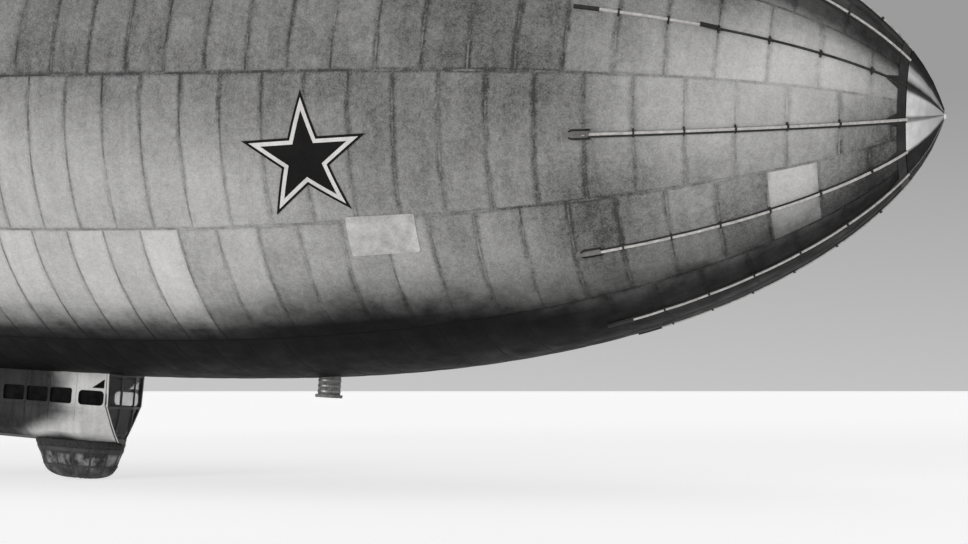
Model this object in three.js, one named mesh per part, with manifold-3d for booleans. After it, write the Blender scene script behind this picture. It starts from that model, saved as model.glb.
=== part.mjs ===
// Pressure airship with nose battens, modelled at half size: gas envelope, nose cap and battens, cruciform
// tail, closed cabin under the belly with its bumper, and two radial engines on outriggers.
// Millimetres. +X points to the nose, +Z up, and the origin is the centre of buoyancy on the hull's axis.
import * as THREE from 'three';
import { mergeVertices } from 'three/addons/utils/BufferGeometryUtils.js';
import Module from 'manifold-3d';

const wasm = await Module();
wasm.setup();

// Clearances
const SEAT = 0.3;
const HULL_SEAT = 0.5;
const PIN_GAP = 0.25;

// Envelope: a body of revolution. Stations s are measured aft from the nose tip.
const HULL_LENGTH = 25000;
const HULL_RADIUS = 3000;
const NOSE_LENGTH = 12000;
const MIDDLE_LENGTH = 1300;
const TAIL_LENGTH = HULL_LENGTH - NOSE_LENGTH - MIDDLE_LENGTH;
const NOSE_POWER = 3.45;
const NOSE_ROUNDING = 0.64;
const TAIL_POWER = 2.2;
const TAIL_ROUNDING = 0.95;
const BUOYANCY_STATION = 11600;
const SKIN = 10;
const FACETS = 48;
const RINGS = 22;
const NOSE_MOUTH = 120;
const TAIL_MOUTH = 24520;

// Nose cap, mooring spindle and battens
const CAP_FACETS = 12;
const CAP_BASE = 290;
const CAP_FOLDS = [CAP_BASE, 190, 100, 40];
const CAP_SHEET = 6;
const CAP_END = -8;
const CAP_END_RADIUS = 55;
const SPINDLE_FLANGE = 42;
const SPINDLE_RADIUS = 30;
const SPINDLE_FACE = 22;
const BATTEN_COUNT = 12;
const BATTEN_END = 3060;
const BATTEN_WIDTH = 48;
const BATTEN_HEIGHT = 30;
const NOSE_RING_END = 385;
const NOSE_RING_HEIGHT = 0.6 * BATTEN_HEIGHT;

// Tail cap
const TAIL_CAP_BASE = 24480;
const TAIL_CAP_RADIUS = 375;
const TAIL_CAP_END = HULL_LENGTH + 40;
const TAIL_CAP_END_RADIUS = 30;

// Tail fins, as heights from the hull's axis and stations
const FIN_THICKNESS = 84;
const FIN_ROOT_START = 18500;
const FIN_TIP_START = 20600;
const FIN_TIP = 3150;
const HINGE_STATION = 22660;
const FIN_END = HINGE_STATION - 60;
const BLADE_ROOT = 1660;
const BLADE_TIP = 3060;
const BLADE_CHORD = 1150;
const BLADE_THICKNESS = 70;
const POST_RADIUS = 16;
const LUG_THICKNESS = 30;
const LUG_RADIUS = 40;

// Cabin: a closed shell whose top meets the belly
const CABIN_FRONT = 9080;
const CABIN_LENGTH = 4150;
const CABIN_HALF_WIDTH = 350;
const CABIN_TOP = -2800;
const KNEE_HEIGHT = -3560;
const BILGE_HEIGHT = -3690;
const KEEL_EDGE_HEIGHT = -3775;
const KEEL_HEIGHT = -3820;
const BOW_START = -3330;
const BOW_NARROWING = 0.84;
const SCREEN_BULGE = 55;
const SCREEN_FRAME = 24;
const SCREEN_TOP = -3010;
const SCREEN_BOTTOM = -3735;
const SCREEN_BAR = [-3385, -3357];
const MULLION = { at: 126, width: 18 };
const WALL = 20;
const SILL = -3400;
const FLOOR_TOP = -3690;
const FLOOR_THICKNESS = 16;
const ROOF_UNDERSIDE = -3062;
const ROOF_THICKNESS = 12;
const GLASS = 6;
const DOOR_START = 1660;
const DOOR_WIDTH = 420;
const DOOR_TOP = -3030;
const DOOR_BOTTOM = -3600;
const DOOR_GAP = 8;

// Bumper bag under the front of the cabin
const BUMPER_STATION = 9645;
const BUMPER_LENGTH = 1210;
const BUMPER_NARROWING = 0.6;
const BUMPER_BOTTOM = -4222;
const BUMPER_RAKE = 0.08;

// Engines on outriggers
const ENGINE_Y = 1550;
const ENGINE_Z = -3450;
const PROPELLER_STATION = 11500;
const PROPELLER_RADIUS = 600;
const HUB_LENGTH = 70;
const NACELLE_START = 11850;
const NACELLE_LENGTH = 760;
const NACELLE_RADIUS = 215;
const STRUT_RADIUS = 17;

// Belly fittings
const NECK_STATION = 6400;
const NECK_RADIUS = 125;
const NECK_DROP = 230;

// The colours and finishes of the maker's materials
const MATERIALS = {
  fabric: new THREE.MeshStandardMaterial({ color: 0x6e6e6a, roughness: 0.75, metalness: 0 }),
  batten: new THREE.MeshStandardMaterial({ color: 0x8c8a84, roughness: 0.7, metalness: 0 }),
  sheet: new THREE.MeshStandardMaterial({ color: 0xb9bab8, roughness: 0.4, metalness: 0.8 }),
  steel: new THREE.MeshStandardMaterial({ color: 0x5b5d5f, roughness: 0.45, metalness: 0.9 }),
  cabin: new THREE.MeshStandardMaterial({ color: 0xa5a6a3, roughness: 0.5, metalness: 0.4 }),
  rubber: new THREE.MeshStandardMaterial({ color: 0x2b2b2a, roughness: 0.9, metalness: 0 }),
  glass: new THREE.MeshStandardMaterial({ color: 0x232829, roughness: 0.1, metalness: 0 }),
  wood: new THREE.MeshStandardMaterial({ color: 0x5d4632, roughness: 0.6, metalness: 0 }),
  leather: new THREE.MeshStandardMaterial({ color: 0x3a2b22, roughness: 0.7, metalness: 0 }),
  iron: new THREE.MeshStandardMaterial({ color: 0x2f3031, roughness: 0.6, metalness: 0.7 }),
};

const airship = new THREE.Group();
airship.name = 'airship';

const stationX = (s) => BUOYANCY_STATION - s;
const radians = THREE.MathUtils.degToRad;

// A closed geometry as a solid, without the slivers that lie on a lathe's axis
function solidOf(geometry) {
  const bare = geometry.clone();
  bare.deleteAttribute('normal');
  bare.deleteAttribute('uv');
  const merged = mergeVertices(bare, 1e-3);
  const index = merged.index.array;
  const triangles = [];
  for (let i = 0; i < index.length; i += 3) {
    const [a, b, c] = [index[i], index[i + 1], index[i + 2]];
    if (a !== b && b !== c && c !== a) triangles.push(a, b, c);
  }
  return new wasm.Manifold(new wasm.Mesh({
    numProp: 3,
    vertProperties: new Float32Array(merged.attributes.position.array),
    triVerts: new Uint32Array(triangles),
  }));
}

function geometryOf(solid) {
  const mesh = solid.getMesh();
  const geometry = new THREE.BufferGeometry();
  geometry.setAttribute('position', new THREE.BufferAttribute(new Float32Array(mesh.vertProperties), 3));
  geometry.setIndex(new THREE.BufferAttribute(new Uint32Array(mesh.triVerts), 1));
  return geometry;
}

function addPart(name, solid, material, turn = 0) {
  const mesh = new THREE.Mesh(geometryOf(solid), material);
  mesh.name = name;
  mesh.rotation.x = turn;
  airship.add(mesh);
}

const join = (solids) => solids.reduce((whole, piece) => whole.add(piece));

// A box between two corners, in any order
function block([x0, y0, z0], [x1, y1, z1]) {
  const geometry = new THREE.BoxGeometry(Math.abs(x1 - x0), Math.abs(y1 - y0), Math.abs(z1 - z0));
  geometry.translate((x0 + x1) / 2, (y0 + y1) / 2, (z0 + z1) / 2);
  return solidOf(geometry);
}

// A round rod between two points
function rod(from, to, radius, sides = 8) {
  const a = new THREE.Vector3(...from);
  const b = new THREE.Vector3(...to);
  const along = b.clone().sub(a);
  const geometry = new THREE.CylinderGeometry(radius, radius, along.length(), sides);
  const up = new THREE.Vector3(0, 1, 0);
  geometry.applyQuaternion(new THREE.Quaternion().setFromUnitVectors(up, along.normalize()));
  const middle = a.add(b).multiplyScalar(0.5);
  geometry.translate(middle.x, middle.y, middle.z);
  return solidOf(geometry);
}

// A profile of [x, radius] points turned about the X axis; the outer side runs forward
function turned(profile, segments) {
  const points = profile.map(([x, radius]) => new THREE.Vector2(radius, x));
  const geometry = new THREE.LatheGeometry(points, segments);
  geometry.rotateZ(-Math.PI / 2);
  return solidOf(geometry);
}

// A flat plate: an outline of [x, height] points, thick along Z and centred there
function plate(outline, thickness, bevel = 0) {
  const shape = new THREE.Shape(outline.map(([x, y]) => new THREE.Vector2(x, y)));
  const geometry = new THREE.ExtrudeGeometry(shape, {
    depth: thickness - 2 * bevel,
    bevelEnabled: bevel > 0,
    bevelThickness: bevel,
    bevelSize: bevel,
    bevelOffset: -bevel,
    bevelSegments: 1,
  });
  geometry.translate(0, 0, bevel - thickness / 2);
  return solidOf(geometry);
}

// Envelope outline: rounded nose, short parallel middle and tapering tail
function hullRadius(s) {
  if (s < NOSE_LENGTH) {
    return HULL_RADIUS * (1 - (1 - s / NOSE_LENGTH) ** NOSE_POWER) ** NOSE_ROUNDING;
  }
  const t = Math.max(0, s - NOSE_LENGTH - MIDDLE_LENGTH) / TAIL_LENGTH;
  return HULL_RADIUS * Math.max(0, 1 - t ** TAIL_POWER) ** TAIL_ROUNDING;
}

// Ring stations, close together at both ends where the outline bends most
const ringStations = Array.from({ length: RINGS + 1 }, (_, i) => {
  const share = 0.5 - 0.5 * Math.cos((Math.PI * i) / RINGS);
  return NOSE_MOUTH + (TAIL_MOUTH - NOSE_MOUTH) * share;
});

// The faceted surface's radius on a ridge, between two rings
function ridgeRadius(s) {
  const after = ringStations.findIndex((station) => station >= s);
  const [s0, s1] = [ringStations[after - 1], ringStations[after]];
  return THREE.MathUtils.mapLinear(s, s0, s1, hullRadius(s0), hullRadius(s1));
}

// A point on the hull's meridian, moved out along its normal, as [x, radius]
function offHull(s, height) {
  const slope = (hullRadius(s + 1) - hullRadius(s - 1)) / 2;
  const length = Math.hypot(slope, 1);
  return [stationX(s) + (slope * height) / length, ridgeRadius(s) + HULL_SEAT + height / length];
}

// The whole hull as a solid, used to cut what lies on it
const hullCutter = turned([
  [stationX(HULL_LENGTH), 0],
  ...ringStations.toReversed().map((s) => [stationX(s), hullRadius(s) + HULL_SEAT]),
  [stationX(0), 0],
], FACETS);

function makeEnvelope() {
  const outer = ringStations.toReversed().map((s) => [stationX(s), hullRadius(s)]);
  const inner = ringStations.map((s) => [stationX(s), hullRadius(s) - SKIN]);
  addPart('envelope', turned([...outer, ...inner, outer[0]], FACETS), MATERIALS.fabric);
}

function makeNose() {
  // The flats of the faceted cone lie just outside the hull
  const overHull = (s) => (hullRadius(s) + CAP_SHEET) / Math.cos(Math.PI / CAP_FACETS);
  const cone = [
    [stationX(CAP_BASE), 0],
    ...CAP_FOLDS.map((s) => [stationX(s), overHull(s)]),
    [stationX(CAP_END), CAP_END_RADIUS],
    [stationX(CAP_END), 0],
  ];
  // Each ridge carries on the line of a batten
  const sheet = turned(cone, CAP_FACETS).rotate([180 / CAP_FACETS, 0, 0]);
  addPart('nose_cap', sheet.subtract(hullCutter), MATERIALS.sheet);

  const front = stationX(CAP_END) + SEAT;
  const spindle = [
    [front, 0],
    [front, SPINDLE_FLANGE],
    [front + 8, SPINDLE_FLANGE],
    [front + 10, SPINDLE_RADIUS],
    [front + 18, SPINDLE_RADIUS],
    [front + 22, SPINDLE_FACE],
    [front + 22, 0],
  ];
  addPart('nose_spindle', turned(spindle, 16), MATERIALS.steel);
}

function makeBattens() {
  const start = CAP_BASE + SEAT * 2;
  const inside = ringStations.filter((s) => s > start + 10 && s < BATTEN_END - 10);
  const stations = [start, ...inside, BATTEN_END];
  const under = stations.map((s) => offHull(s, 0));
  const over = stations.map((s) => offHull(s, BATTEN_HEIGHT)).toReversed();
  const batten = plate([...under, ...over], BATTEN_WIDTH);

  const ringSpan = [start, ...inside.filter((s) => s < NOSE_RING_END), NOSE_RING_END];
  const ringOver = ringSpan.toReversed().map((s) => offHull(s, NOSE_RING_HEIGHT));
  const ringUnder = ringSpan.map((s) => offHull(s, 0));
  const noseRing = turned([...ringOver, ...ringUnder, ringOver[0]], FACETS);

  const pieces = [noseRing];
  for (let i = 0; i < BATTEN_COUNT; i += 1) {
    pieces.push(batten.rotate([(i + 0.5) * (360 / BATTEN_COUNT), 0, 0]));
  }
  // The cap's flat base stops the battens, and the hull's facets lie under them
  const behindCap = block([stationX(start), -4000, -4000], [stationX(BATTEN_END) - 10, 4000, 4000]);
  const battens = join(pieces).intersect(behindCap).subtract(hullCutter);
  addPart('nose_battens', battens, MATERIALS.batten);
}

function makeTailCap() {
  const cone = [
    [stationX(TAIL_CAP_END), 0],
    [stationX(TAIL_CAP_END), TAIL_CAP_END_RADIUS],
    [stationX(TAIL_CAP_BASE), TAIL_CAP_RADIUS],
    [stationX(TAIL_CAP_BASE), 0],
  ];
  addPart('tail_cap', turned(cone, FACETS).subtract(hullCutter), MATERIALS.sheet);
}

// Fins and their moving blades. Each is made in the XY plane with Y away from the hull, then turned about X.
const TAIL_SURFACES = [
  { fin: 'fin_top', blade: 'rudder_top', turn: 90 },
  { fin: 'fin_left', blade: 'elevator_left', turn: 0 },
  { fin: 'fin_bottom', blade: 'rudder_bottom', turn: -90 },
  { fin: 'fin_right', blade: 'elevator_right', turn: 180 },
];

function makeTail() {
  const hingeX = stationX(HINGE_STATION);
  const finEnd = stationX(FIN_END);
  const finOutline = [
    [stationX(FIN_ROOT_START), hullRadius(FIN_ROOT_START) - 60],
    [stationX(FIN_ROOT_START + 500), 2780],
    [stationX(FIN_TIP_START), FIN_TIP - 40],
    [stationX(FIN_TIP_START + 250), FIN_TIP],
    [finEnd, FIN_TIP],
    [finEnd, hullRadius(FIN_END) - 200],
  ].toReversed();
  const lugHeights = [BLADE_ROOT - 18 - LUG_THICKNESS, BLADE_TIP + 18];
  const holeRadius = (POST_RADIUS + PIN_GAP) / Math.cos(Math.PI / 12);
  const hole = rod([hingeX, BLADE_ROOT - 200, 0], [hingeX, FIN_TIP + 100, 0], holeRadius, 12);
  const lugs = lugHeights.map((height) => {
    const arm = block([finEnd + 40, height, -LUG_RADIUS], [hingeX, height + LUG_THICKNESS, LUG_RADIUS]);
    const eye = rod([hingeX, height, 0], [hingeX, height + LUG_THICKNESS, 0], LUG_RADIUS, 12);
    return arm.add(eye);
  });
  const fin = join([plate(finOutline, FIN_THICKNESS, 14), ...lugs]).subtract(hole).subtract(hullCutter);

  // Blade section: round at the hinge, thin at the trailing edge
  const half = BLADE_THICKNESS / 2;
  const section = new THREE.Shape();
  section.absarc(hingeX, 0, half, -Math.PI / 2, Math.PI / 2, false);
  section.lineTo(hingeX - BLADE_CHORD, 9);
  section.lineTo(hingeX - BLADE_CHORD, -9);
  const span = new THREE.ExtrudeGeometry(section, {
    depth: BLADE_TIP - BLADE_ROOT,
    bevelEnabled: false,
    curveSegments: 5,
  });
  span.rotateX(Math.PI / 2);
  span.translate(0, BLADE_TIP, 0);
  const planform = plate([
    [hingeX + half, BLADE_ROOT],
    [hingeX + half, BLADE_TIP],
    [hingeX - BLADE_CHORD + 260, BLADE_TIP],
    [hingeX - BLADE_CHORD, BLADE_TIP - 260],
    [hingeX - BLADE_CHORD, BLADE_ROOT + 360],
    [hingeX - 620, BLADE_ROOT],
  ].toReversed(), 2 * BLADE_THICKNESS);
  const postEnds = [lugHeights[0] - 6, lugHeights[1] + LUG_THICKNESS + 6];
  const post = rod([hingeX, postEnds[0], 0], [hingeX, postEnds[1], 0], POST_RADIUS, 12);
  const blade = solidOf(span).intersect(planform).add(post);

  for (const { fin: finName, blade: bladeName, turn } of TAIL_SURFACES) {
    addPart(finName, fin, MATERIALS.fabric, radians(turn));
    addPart(bladeName, blade, MATERIALS.fabric, radians(turn));
  }
}

// Cabin sections from rear to front: distance aft of the front wall's corners, share of the width, share of
// the depth, how far the sides draw in below BOW_START to make the bow, and how far an inset moves it aft
const CABIN_SECTIONS = [
  { aft: CABIN_LENGTH, width: 0.42, depth: 0.52, bow: 0, draw: -1 },
  { aft: 3600, width: 0.8, depth: 0.86, bow: 0, draw: 0 },
  { aft: 2900, width: 1, depth: 0.98, bow: 0, draw: 0 },
  { aft: 350, width: 1, depth: 1, bow: 0, draw: 0 },
  { aft: 0, width: 1, depth: 1, bow: BOW_NARROWING, draw: 0.785 },
  { aft: -SCREEN_BULGE, width: 0.36, depth: 1, bow: BOW_NARROWING, draw: 1 },
];

// Share of the width that is left at a height where the sides draw in to the bow
function bowWidth(bow, z) {
  return 1 - bow * THREE.MathUtils.clamp((BOW_START - z) / (BOW_START - KEEL_HEIGHT), 0, 1);
}

// The cabin's full section as [y, z] points, drawn in by an inset on every side but the top
function cabinOutline(inset) {
  const side = CABIN_HALF_WIDTH - inset;
  const half = [
    [side, CABIN_TOP],
    [side, BOW_START],
    [side, KNEE_HEIGHT + inset * 0.1],
    [side - 25, BILGE_HEIGHT + inset * 0.4],
    [side - 110 + inset * 0.4, KEEL_EDGE_HEIGHT + inset * 0.85],
  ];
  return [...half, [0, KEEL_HEIGHT + inset], ...half.toReversed().map(([y, z]) => [-y, z])];
}

// The cabin's outer shape, drawn in by an inset
function cabinSolid(inset) {
  const shape = new THREE.Shape(cabinOutline(inset).map(([y, z]) => new THREE.Vector2(y, z)));
  const steps = CABIN_SECTIONS.length - 1;
  const geometry = new THREE.ExtrudeGeometry(shape, { depth: steps, steps, bevelEnabled: false });
  const toX = new THREE.Matrix4().makeBasis(
    new THREE.Vector3(0, 1, 0),
    new THREE.Vector3(0, 0, 1),
    new THREE.Vector3(1, 0, 0),
  );
  geometry.applyMatrix4(toX);
  const points = geometry.attributes.position;
  for (let i = 0; i < points.count; i += 1) {
    const step = Math.round(points.getX(i));
    const { aft, width, depth, bow, draw } = CABIN_SECTIONS[step];
    const z = points.getZ(i);
    points.setXYZ(
      i,
      stationX(CABIN_FRONT + aft) - draw * inset,
      points.getY(i) * width * bowWidth(bow, z),
      CABIN_TOP + (z - CABIN_TOP) * depth,
    );
  }
  return solidOf(geometry);
}

// Distance aft of the cabin's front wall, as an X
const cabinX = (aft) => stationX(CABIN_FRONT + aft);

// Side windows: start and end aft of the front wall, lower and upper edge, corner radius
const SIDE_WINDOWS = [
  { start: 40, end: 392, low: -3356, high: -3186, corner: 52 },
  { start: 488, end: 797, low: -3354, high: -3172, corner: 30 },
  { start: 825, end: 1135, low: -3354, high: -3172, corner: 30 },
  { start: 1163, end: 1472, low: -3354, high: -3172, corner: 30 },
];
const AFT_WINDOW = { start: 1717, end: 2023, low: -3354, high: -3172, corner: 30 };
const QUARTER_LIGHT = [[44, -3155], [212, -3155], [44, -3049]];

// A rounded window opening through both side walls
function windowCut({ start, end, low, high, corner }) {
  const [x0, x1] = [cabinX(end), cabinX(start)];
  const shape = new THREE.Shape();
  shape.absarc(x0 + corner, low + corner, corner, Math.PI, 1.5 * Math.PI);
  shape.absarc(x1 - corner, low + corner, corner, -0.5 * Math.PI, 0);
  shape.absarc(x1 - corner, high - corner, corner, 0, 0.5 * Math.PI);
  shape.absarc(x0 + corner, high - corner, corner, 0.5 * Math.PI, Math.PI);
  const geometry = new THREE.ExtrudeGeometry(shape, { depth: 1000, bevelEnabled: false, curveSegments: 3 });
  geometry.rotateX(Math.PI / 2);
  geometry.translate(0, 500, 0);
  return solidOf(geometry);
}

function quarterLightCut() {
  const outline = QUARTER_LIGHT.map(([aft, z]) => new THREE.Vector2(cabinX(aft), z));
  const geometry = new THREE.ExtrudeGeometry(new THREE.Shape(outline), { depth: 1000, bevelEnabled: false });
  geometry.rotateX(Math.PI / 2);
  geometry.translate(0, 500, 0);
  return solidOf(geometry);
}

// Windscreen openings: the front wall inside its frame, less two mullions and a bar
function screenPanes() {
  const front = cabinX(0);
  const [ahead, behind] = [front + SCREEN_BULGE + 20, front - 50];
  const drawnIn = cabinOutline(SCREEN_FRAME).map(([y, z]) => (
    new THREE.Vector2(y * bowWidth(BOW_NARROWING, z), z)
  ));
  const geometry = new THREE.ExtrudeGeometry(new THREE.Shape(drawnIn), {
    depth: ahead - behind,
    bevelEnabled: false,
  });
  geometry.applyMatrix4(new THREE.Matrix4().makeBasis(
    new THREE.Vector3(0, 1, 0),
    new THREE.Vector3(0, 0, 1),
    new THREE.Vector3(1, 0, 0),
  ));
  geometry.translate(behind, 0, 0);
  const opening = block([behind, -1000, SCREEN_BOTTOM], [ahead, 1000, SCREEN_TOP]);
  const mullions = [-1, 1].map((side) => block(
    [behind, side * MULLION.at - MULLION.width / 2, KEEL_HEIGHT],
    [ahead, side * MULLION.at + MULLION.width / 2, CABIN_TOP],
  ));
  const bar = block([behind, -1000, SCREEN_BAR[0]], [ahead, 1000, SCREEN_BAR[1]]);
  return solidOf(geometry).intersect(opening).subtract(join([...mullions, bar]));
}

function makeCabin() {
  const front = cabinX(0);
  const rear = cabinX(CABIN_LENGTH);
  const outer = cabinSolid(0).subtract(hullCutter);
  const hollow = cabinSolid(WALL);
  const shell = outer.subtract(hollow);
  const far = 2000;
  const above = (z) => block([rear - 100, -far, z], [front + 100, far, 0]);
  const within = (x0, x1) => block([x0, -far, -5000], [x1, far, 0]);

  const wallFront = front - WALL;
  const wallRear = rear + 560;
  const doorFront = cabinX(DOOR_START);
  const doorRear = cabinX(DOOR_START + DOOR_WIDTH);
  const doorway = block([doorRear, -far, DOOR_BOTTOM], [doorFront, -100, DOOR_TOP]);
  const windows = join([...SIDE_WINDOWS.map(windowCut), quarterLightCut()]);

  // Windscreen frame: the whole front wall, bowed forward in the middle
  const screen = shell.intersect(within(wallFront, front + SCREEN_BULGE + 10)).subtract(screenPanes());
  addPart('windscreen_frame', screen, MATERIALS.cabin);

  // Rear cone
  addPart('cabin_tail', shell.intersect(within(rear - 10, wallRear)), MATERIALS.cabin);

  // Side walls and tub between them
  const middle = shell.intersect(within(wallRear + SEAT, wallFront - SEAT));
  const walls = middle.intersect(above(SILL + SEAT));
  const rightHalf = block([rear, -far, -5000], [front, -1, 0]);
  const leftHalf = block([rear, 1, -5000], [front, far, 0]);
  const [upperHinge, lowerHinge] = hingeSeats(doorFront);
  const rightWall = walls.intersect(rightHalf).subtract(windows).subtract(doorway);
  addPart('cabin_wall_right', rightWall.add(upperHinge.ears), MATERIALS.cabin);
  const leftWall = walls.intersect(leftHalf).subtract(windows).subtract(windowCut(AFT_WINDOW));
  addPart('cabin_wall_left', leftWall, MATERIALS.cabin);
  const tub = middle.subtract(above(SILL)).subtract(doorway);
  addPart('cabin_tub', tub.add(lowerHinge.ears), MATERIALS.cabin);

  // Door with its window, hinge leaves and handle
  const doorBlock = block(
    [doorRear + DOOR_GAP, -far, DOOR_BOTTOM + DOOR_GAP],
    [doorFront - DOOR_GAP, -100, DOOR_TOP - DOOR_GAP],
  );
  const doorWindow = windowCut({ ...AFT_WINDOW, start: DOOR_START + 75, end: DOOR_START + 345 });
  const handle = block(
    [doorRear + 40, -CABIN_HALF_WIDTH - 22, -3440],
    [doorRear + 56, -CABIN_HALF_WIDTH + 2, -3400],
  ).add(block(
    [doorRear + 40, -CABIN_HALF_WIDTH - 22, -3440],
    [doorRear + 120, -CABIN_HALF_WIDTH - 12, -3424],
  ));
  const panel = shell.intersect(doorBlock).subtract(doorWindow);
  const door = join([panel, handle, upperHinge.leaf, lowerHinge.leaf]);
  addPart('cabin_door', door, MATERIALS.cabin);

  // Glazing lies behind the walls
  const glazing = cabinSolid(WALL + SEAT).subtract(cabinSolid(WALL + SEAT + GLASS));
  const band = (aft0, aft1, z0, z1, y0, y1) => block([cabinX(aft1), y0, z0], [cabinX(aft0), y1, z1]);
  const glassStart = WALL + GLASS + 8;
  const rightEnd = DOOR_START - 40;
  const leftEnd = AFT_WINDOW.end + 25;
  const rightBand = band(glassStart, rightEnd, -3374, -3075, -far, -1);
  addPart('glass_right', glazing.intersect(rightBand), MATERIALS.glass);
  const leftBand = band(glassStart, leftEnd, -3374, -3075, 1, far);
  addPart('glass_left', glazing.intersect(leftBand), MATERIALS.glass);
  const screenGlass = glazing.intersect(band(-SCREEN_BULGE, WALL + GLASS + 1, -3750, -2995, -far, far));
  addPart('glass_windscreen', screenGlass, MATERIALS.glass);
  const doorInside = -CABIN_HALF_WIDTH + WALL + SEAT;
  const doorGlass = block(
    [cabinX(DOOR_START + 360), doorInside, -3370],
    [cabinX(DOOR_START + 60), doorInside + GLASS, -3157],
  );
  addPart('glass_door', doorGlass, MATERIALS.glass);

  // Roof, floor, instrument board and two seats inside
  const room = cabinSolid(WALL + GLASS + 2 * SEAT);
  const inside = cabinSolid(WALL + SEAT);
  const deck = (low, high) => block([wallRear + 20, -far, low], [front - 60, far, high]);
  const roofLevel = deck(ROOF_UNDERSIDE, ROOF_UNDERSIDE + ROOF_THICKNESS);
  addPart('cabin_roof', inside.intersect(roofLevel), MATERIALS.cabin);
  addPart('cabin_floor', inside.intersect(deck(FLOOR_TOP - FLOOR_THICKNESS, FLOOR_TOP)), MATERIALS.wood);
  const board = block([cabinX(150), -far, FLOOR_TOP + SEAT], [cabinX(70), far, -3385]);
  addPart('instrument_board', room.intersect(board), MATERIALS.iron);
  for (const [name, y] of [['seat_right', -160], ['seat_left', 160]]) {
    addPart(name, makeSeat(y), MATERIALS.leather);
  }
}

// The two door hinges: ears with a pin on the wall, and a leaf with its knuckle on the door
const HINGE_HEIGHTS = [-3120, -3510];
function hingeSeats(doorFront) {
  const outside = -CABIN_HALF_WIDTH;
  const axisX = doorFront - DOOR_GAP / 2;
  const axisY = outside - 12;
  return HINGE_HEIGHTS.map((z) => {
    const earAt = (z0, z1) => rod([axisX, axisY, z0], [axisX, axisY, z1], 8, 12)
      .add(block([axisX, axisY - 8, z0], [axisX + 46, axisY + 8, z1]))
      .add(block([axisX + 10, axisY, z0], [axisX + 46, outside + 4, z1]));
    const pin = rod([axisX, axisY, z - 36], [axisX, axisY, z + 36], 4, 12);
    const knuckle = rod([axisX, axisY, z - 24.5], [axisX, axisY, z + 24.5], 8, 12)
      .add(block([axisX - 76, outside - 6, z - 24.5], [axisX, outside - 3, z + 24.5]))
      .add(block([axisX - 76, outside - 5, z - 24.5], [axisX - 14, outside + 2, z + 24.5]));
    const bore = rod([axisX, axisY, z - 30], [axisX, axisY, z + 30], 4.7, 12);
    return {
      ears: join([earAt(z + 25, z + 37), earAt(z - 37, z - 25), pin]),
      leaf: knuckle.subtract(bore),
    };
  });
}

function makeSeat(y) {
  const width = 230;
  const outline = [
    [cabinX(430), FLOOR_TOP + 190],
    [cabinX(430), FLOOR_TOP + 230],
    [cabinX(625), FLOOR_TOP + 230],
    [cabinX(660), FLOOR_TOP + 520],
    [cabinX(695), FLOOR_TOP + 520],
    [cabinX(670), FLOOR_TOP + 190],
  ];
  const shape = new THREE.Shape(outline.map(([x, z]) => new THREE.Vector2(x, z)));
  const geometry = new THREE.ExtrudeGeometry(shape, { depth: width, bevelEnabled: false });
  geometry.rotateX(Math.PI / 2);
  geometry.translate(0, y + width / 2, 0);
  const stand = block([cabinX(620), y - 60, FLOOR_TOP + SEAT], [cabinX(480), y + 60, FLOOR_TOP + 200]);
  return solidOf(geometry).add(stand);
}

// Bumper: a squat bag, oval in plan and raked forward, cut to the cabin's keel. Its profile gives shares of
// the half length at heights over the bottom.
const BUMPER_PROFILE = [
  [0, 0],
  [0.44, 0],
  [0.59, 18],
  [0.71, 52],
  [0.79, 109],
  [0.91, 281],
  [1, 412],
  [0.98, 462],
  [0, 462],
];

function makeBumper() {
  const half = BUMPER_LENGTH / 2;
  const points = BUMPER_PROFILE.map(([share, height]) => (
    new THREE.Vector2(share * half, BUMPER_BOTTOM + height)
  ));
  const geometry = new THREE.LatheGeometry(points, 24);
  geometry.rotateX(Math.PI / 2);
  const place = geometry.attributes.position;
  for (let i = 0; i < place.count; i += 1) {
    const z = place.getZ(i);
    place.setX(i, place.getX(i) + stationX(BUMPER_STATION) + (KEEL_HEIGHT - z) * BUMPER_RAKE);
    place.setY(i, place.getY(i) * BUMPER_NARROWING);
  }
  addPart('bumper', solidOf(geometry).subtract(cabinSolid(-SEAT)), MATERIALS.rubber);
}

// Outrigger: a plate on the cabin wall, a plate on the nacelle and tubes between their corners
function makeOutrigger(name, side) {
  const wallY = side * (CABIN_HALF_WIDTH + SEAT);
  const podY = side * (ENGINE_Y - NACELLE_RADIUS + 12);
  const wallPlate = block([stationX(11360), wallY, -3560], [stationX(11900), wallY + side * 12, -3130]);
  const podPlate = block([stationX(11920), podY, -3530], [stationX(12280), podY - side * 14, -3370]);
  const ends = [
    [[stationX(11410), -3180], [stationX(11960), -3400]],
    [[stationX(11850), -3180], [stationX(12240), -3400]],
    [[stationX(11410), -3510], [stationX(11960), -3500]],
    [[stationX(11850), -3510], [stationX(12240), -3500]],
  ];
  const tubes = ends.map(([[x0, z0], [x1, z1]]) => (
    rod([x0, wallY + side * 6, z0], [x1, podY - side * 6, z1], STRUT_RADIUS)
  ));
  const cross = rod(
    [stationX(11410), wallY + side * 6, -3510],
    [stationX(12240), podY - side * 6, -3400],
    STRUT_RADIUS * 0.7,
  );
  const between = block([stationX(11000), wallY, -4000], [stationX(13000), podY, -3000]);
  addPart(name, join([wallPlate, podPlate, ...tubes, cross]).intersect(between), MATERIALS.steel);
}

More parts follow.
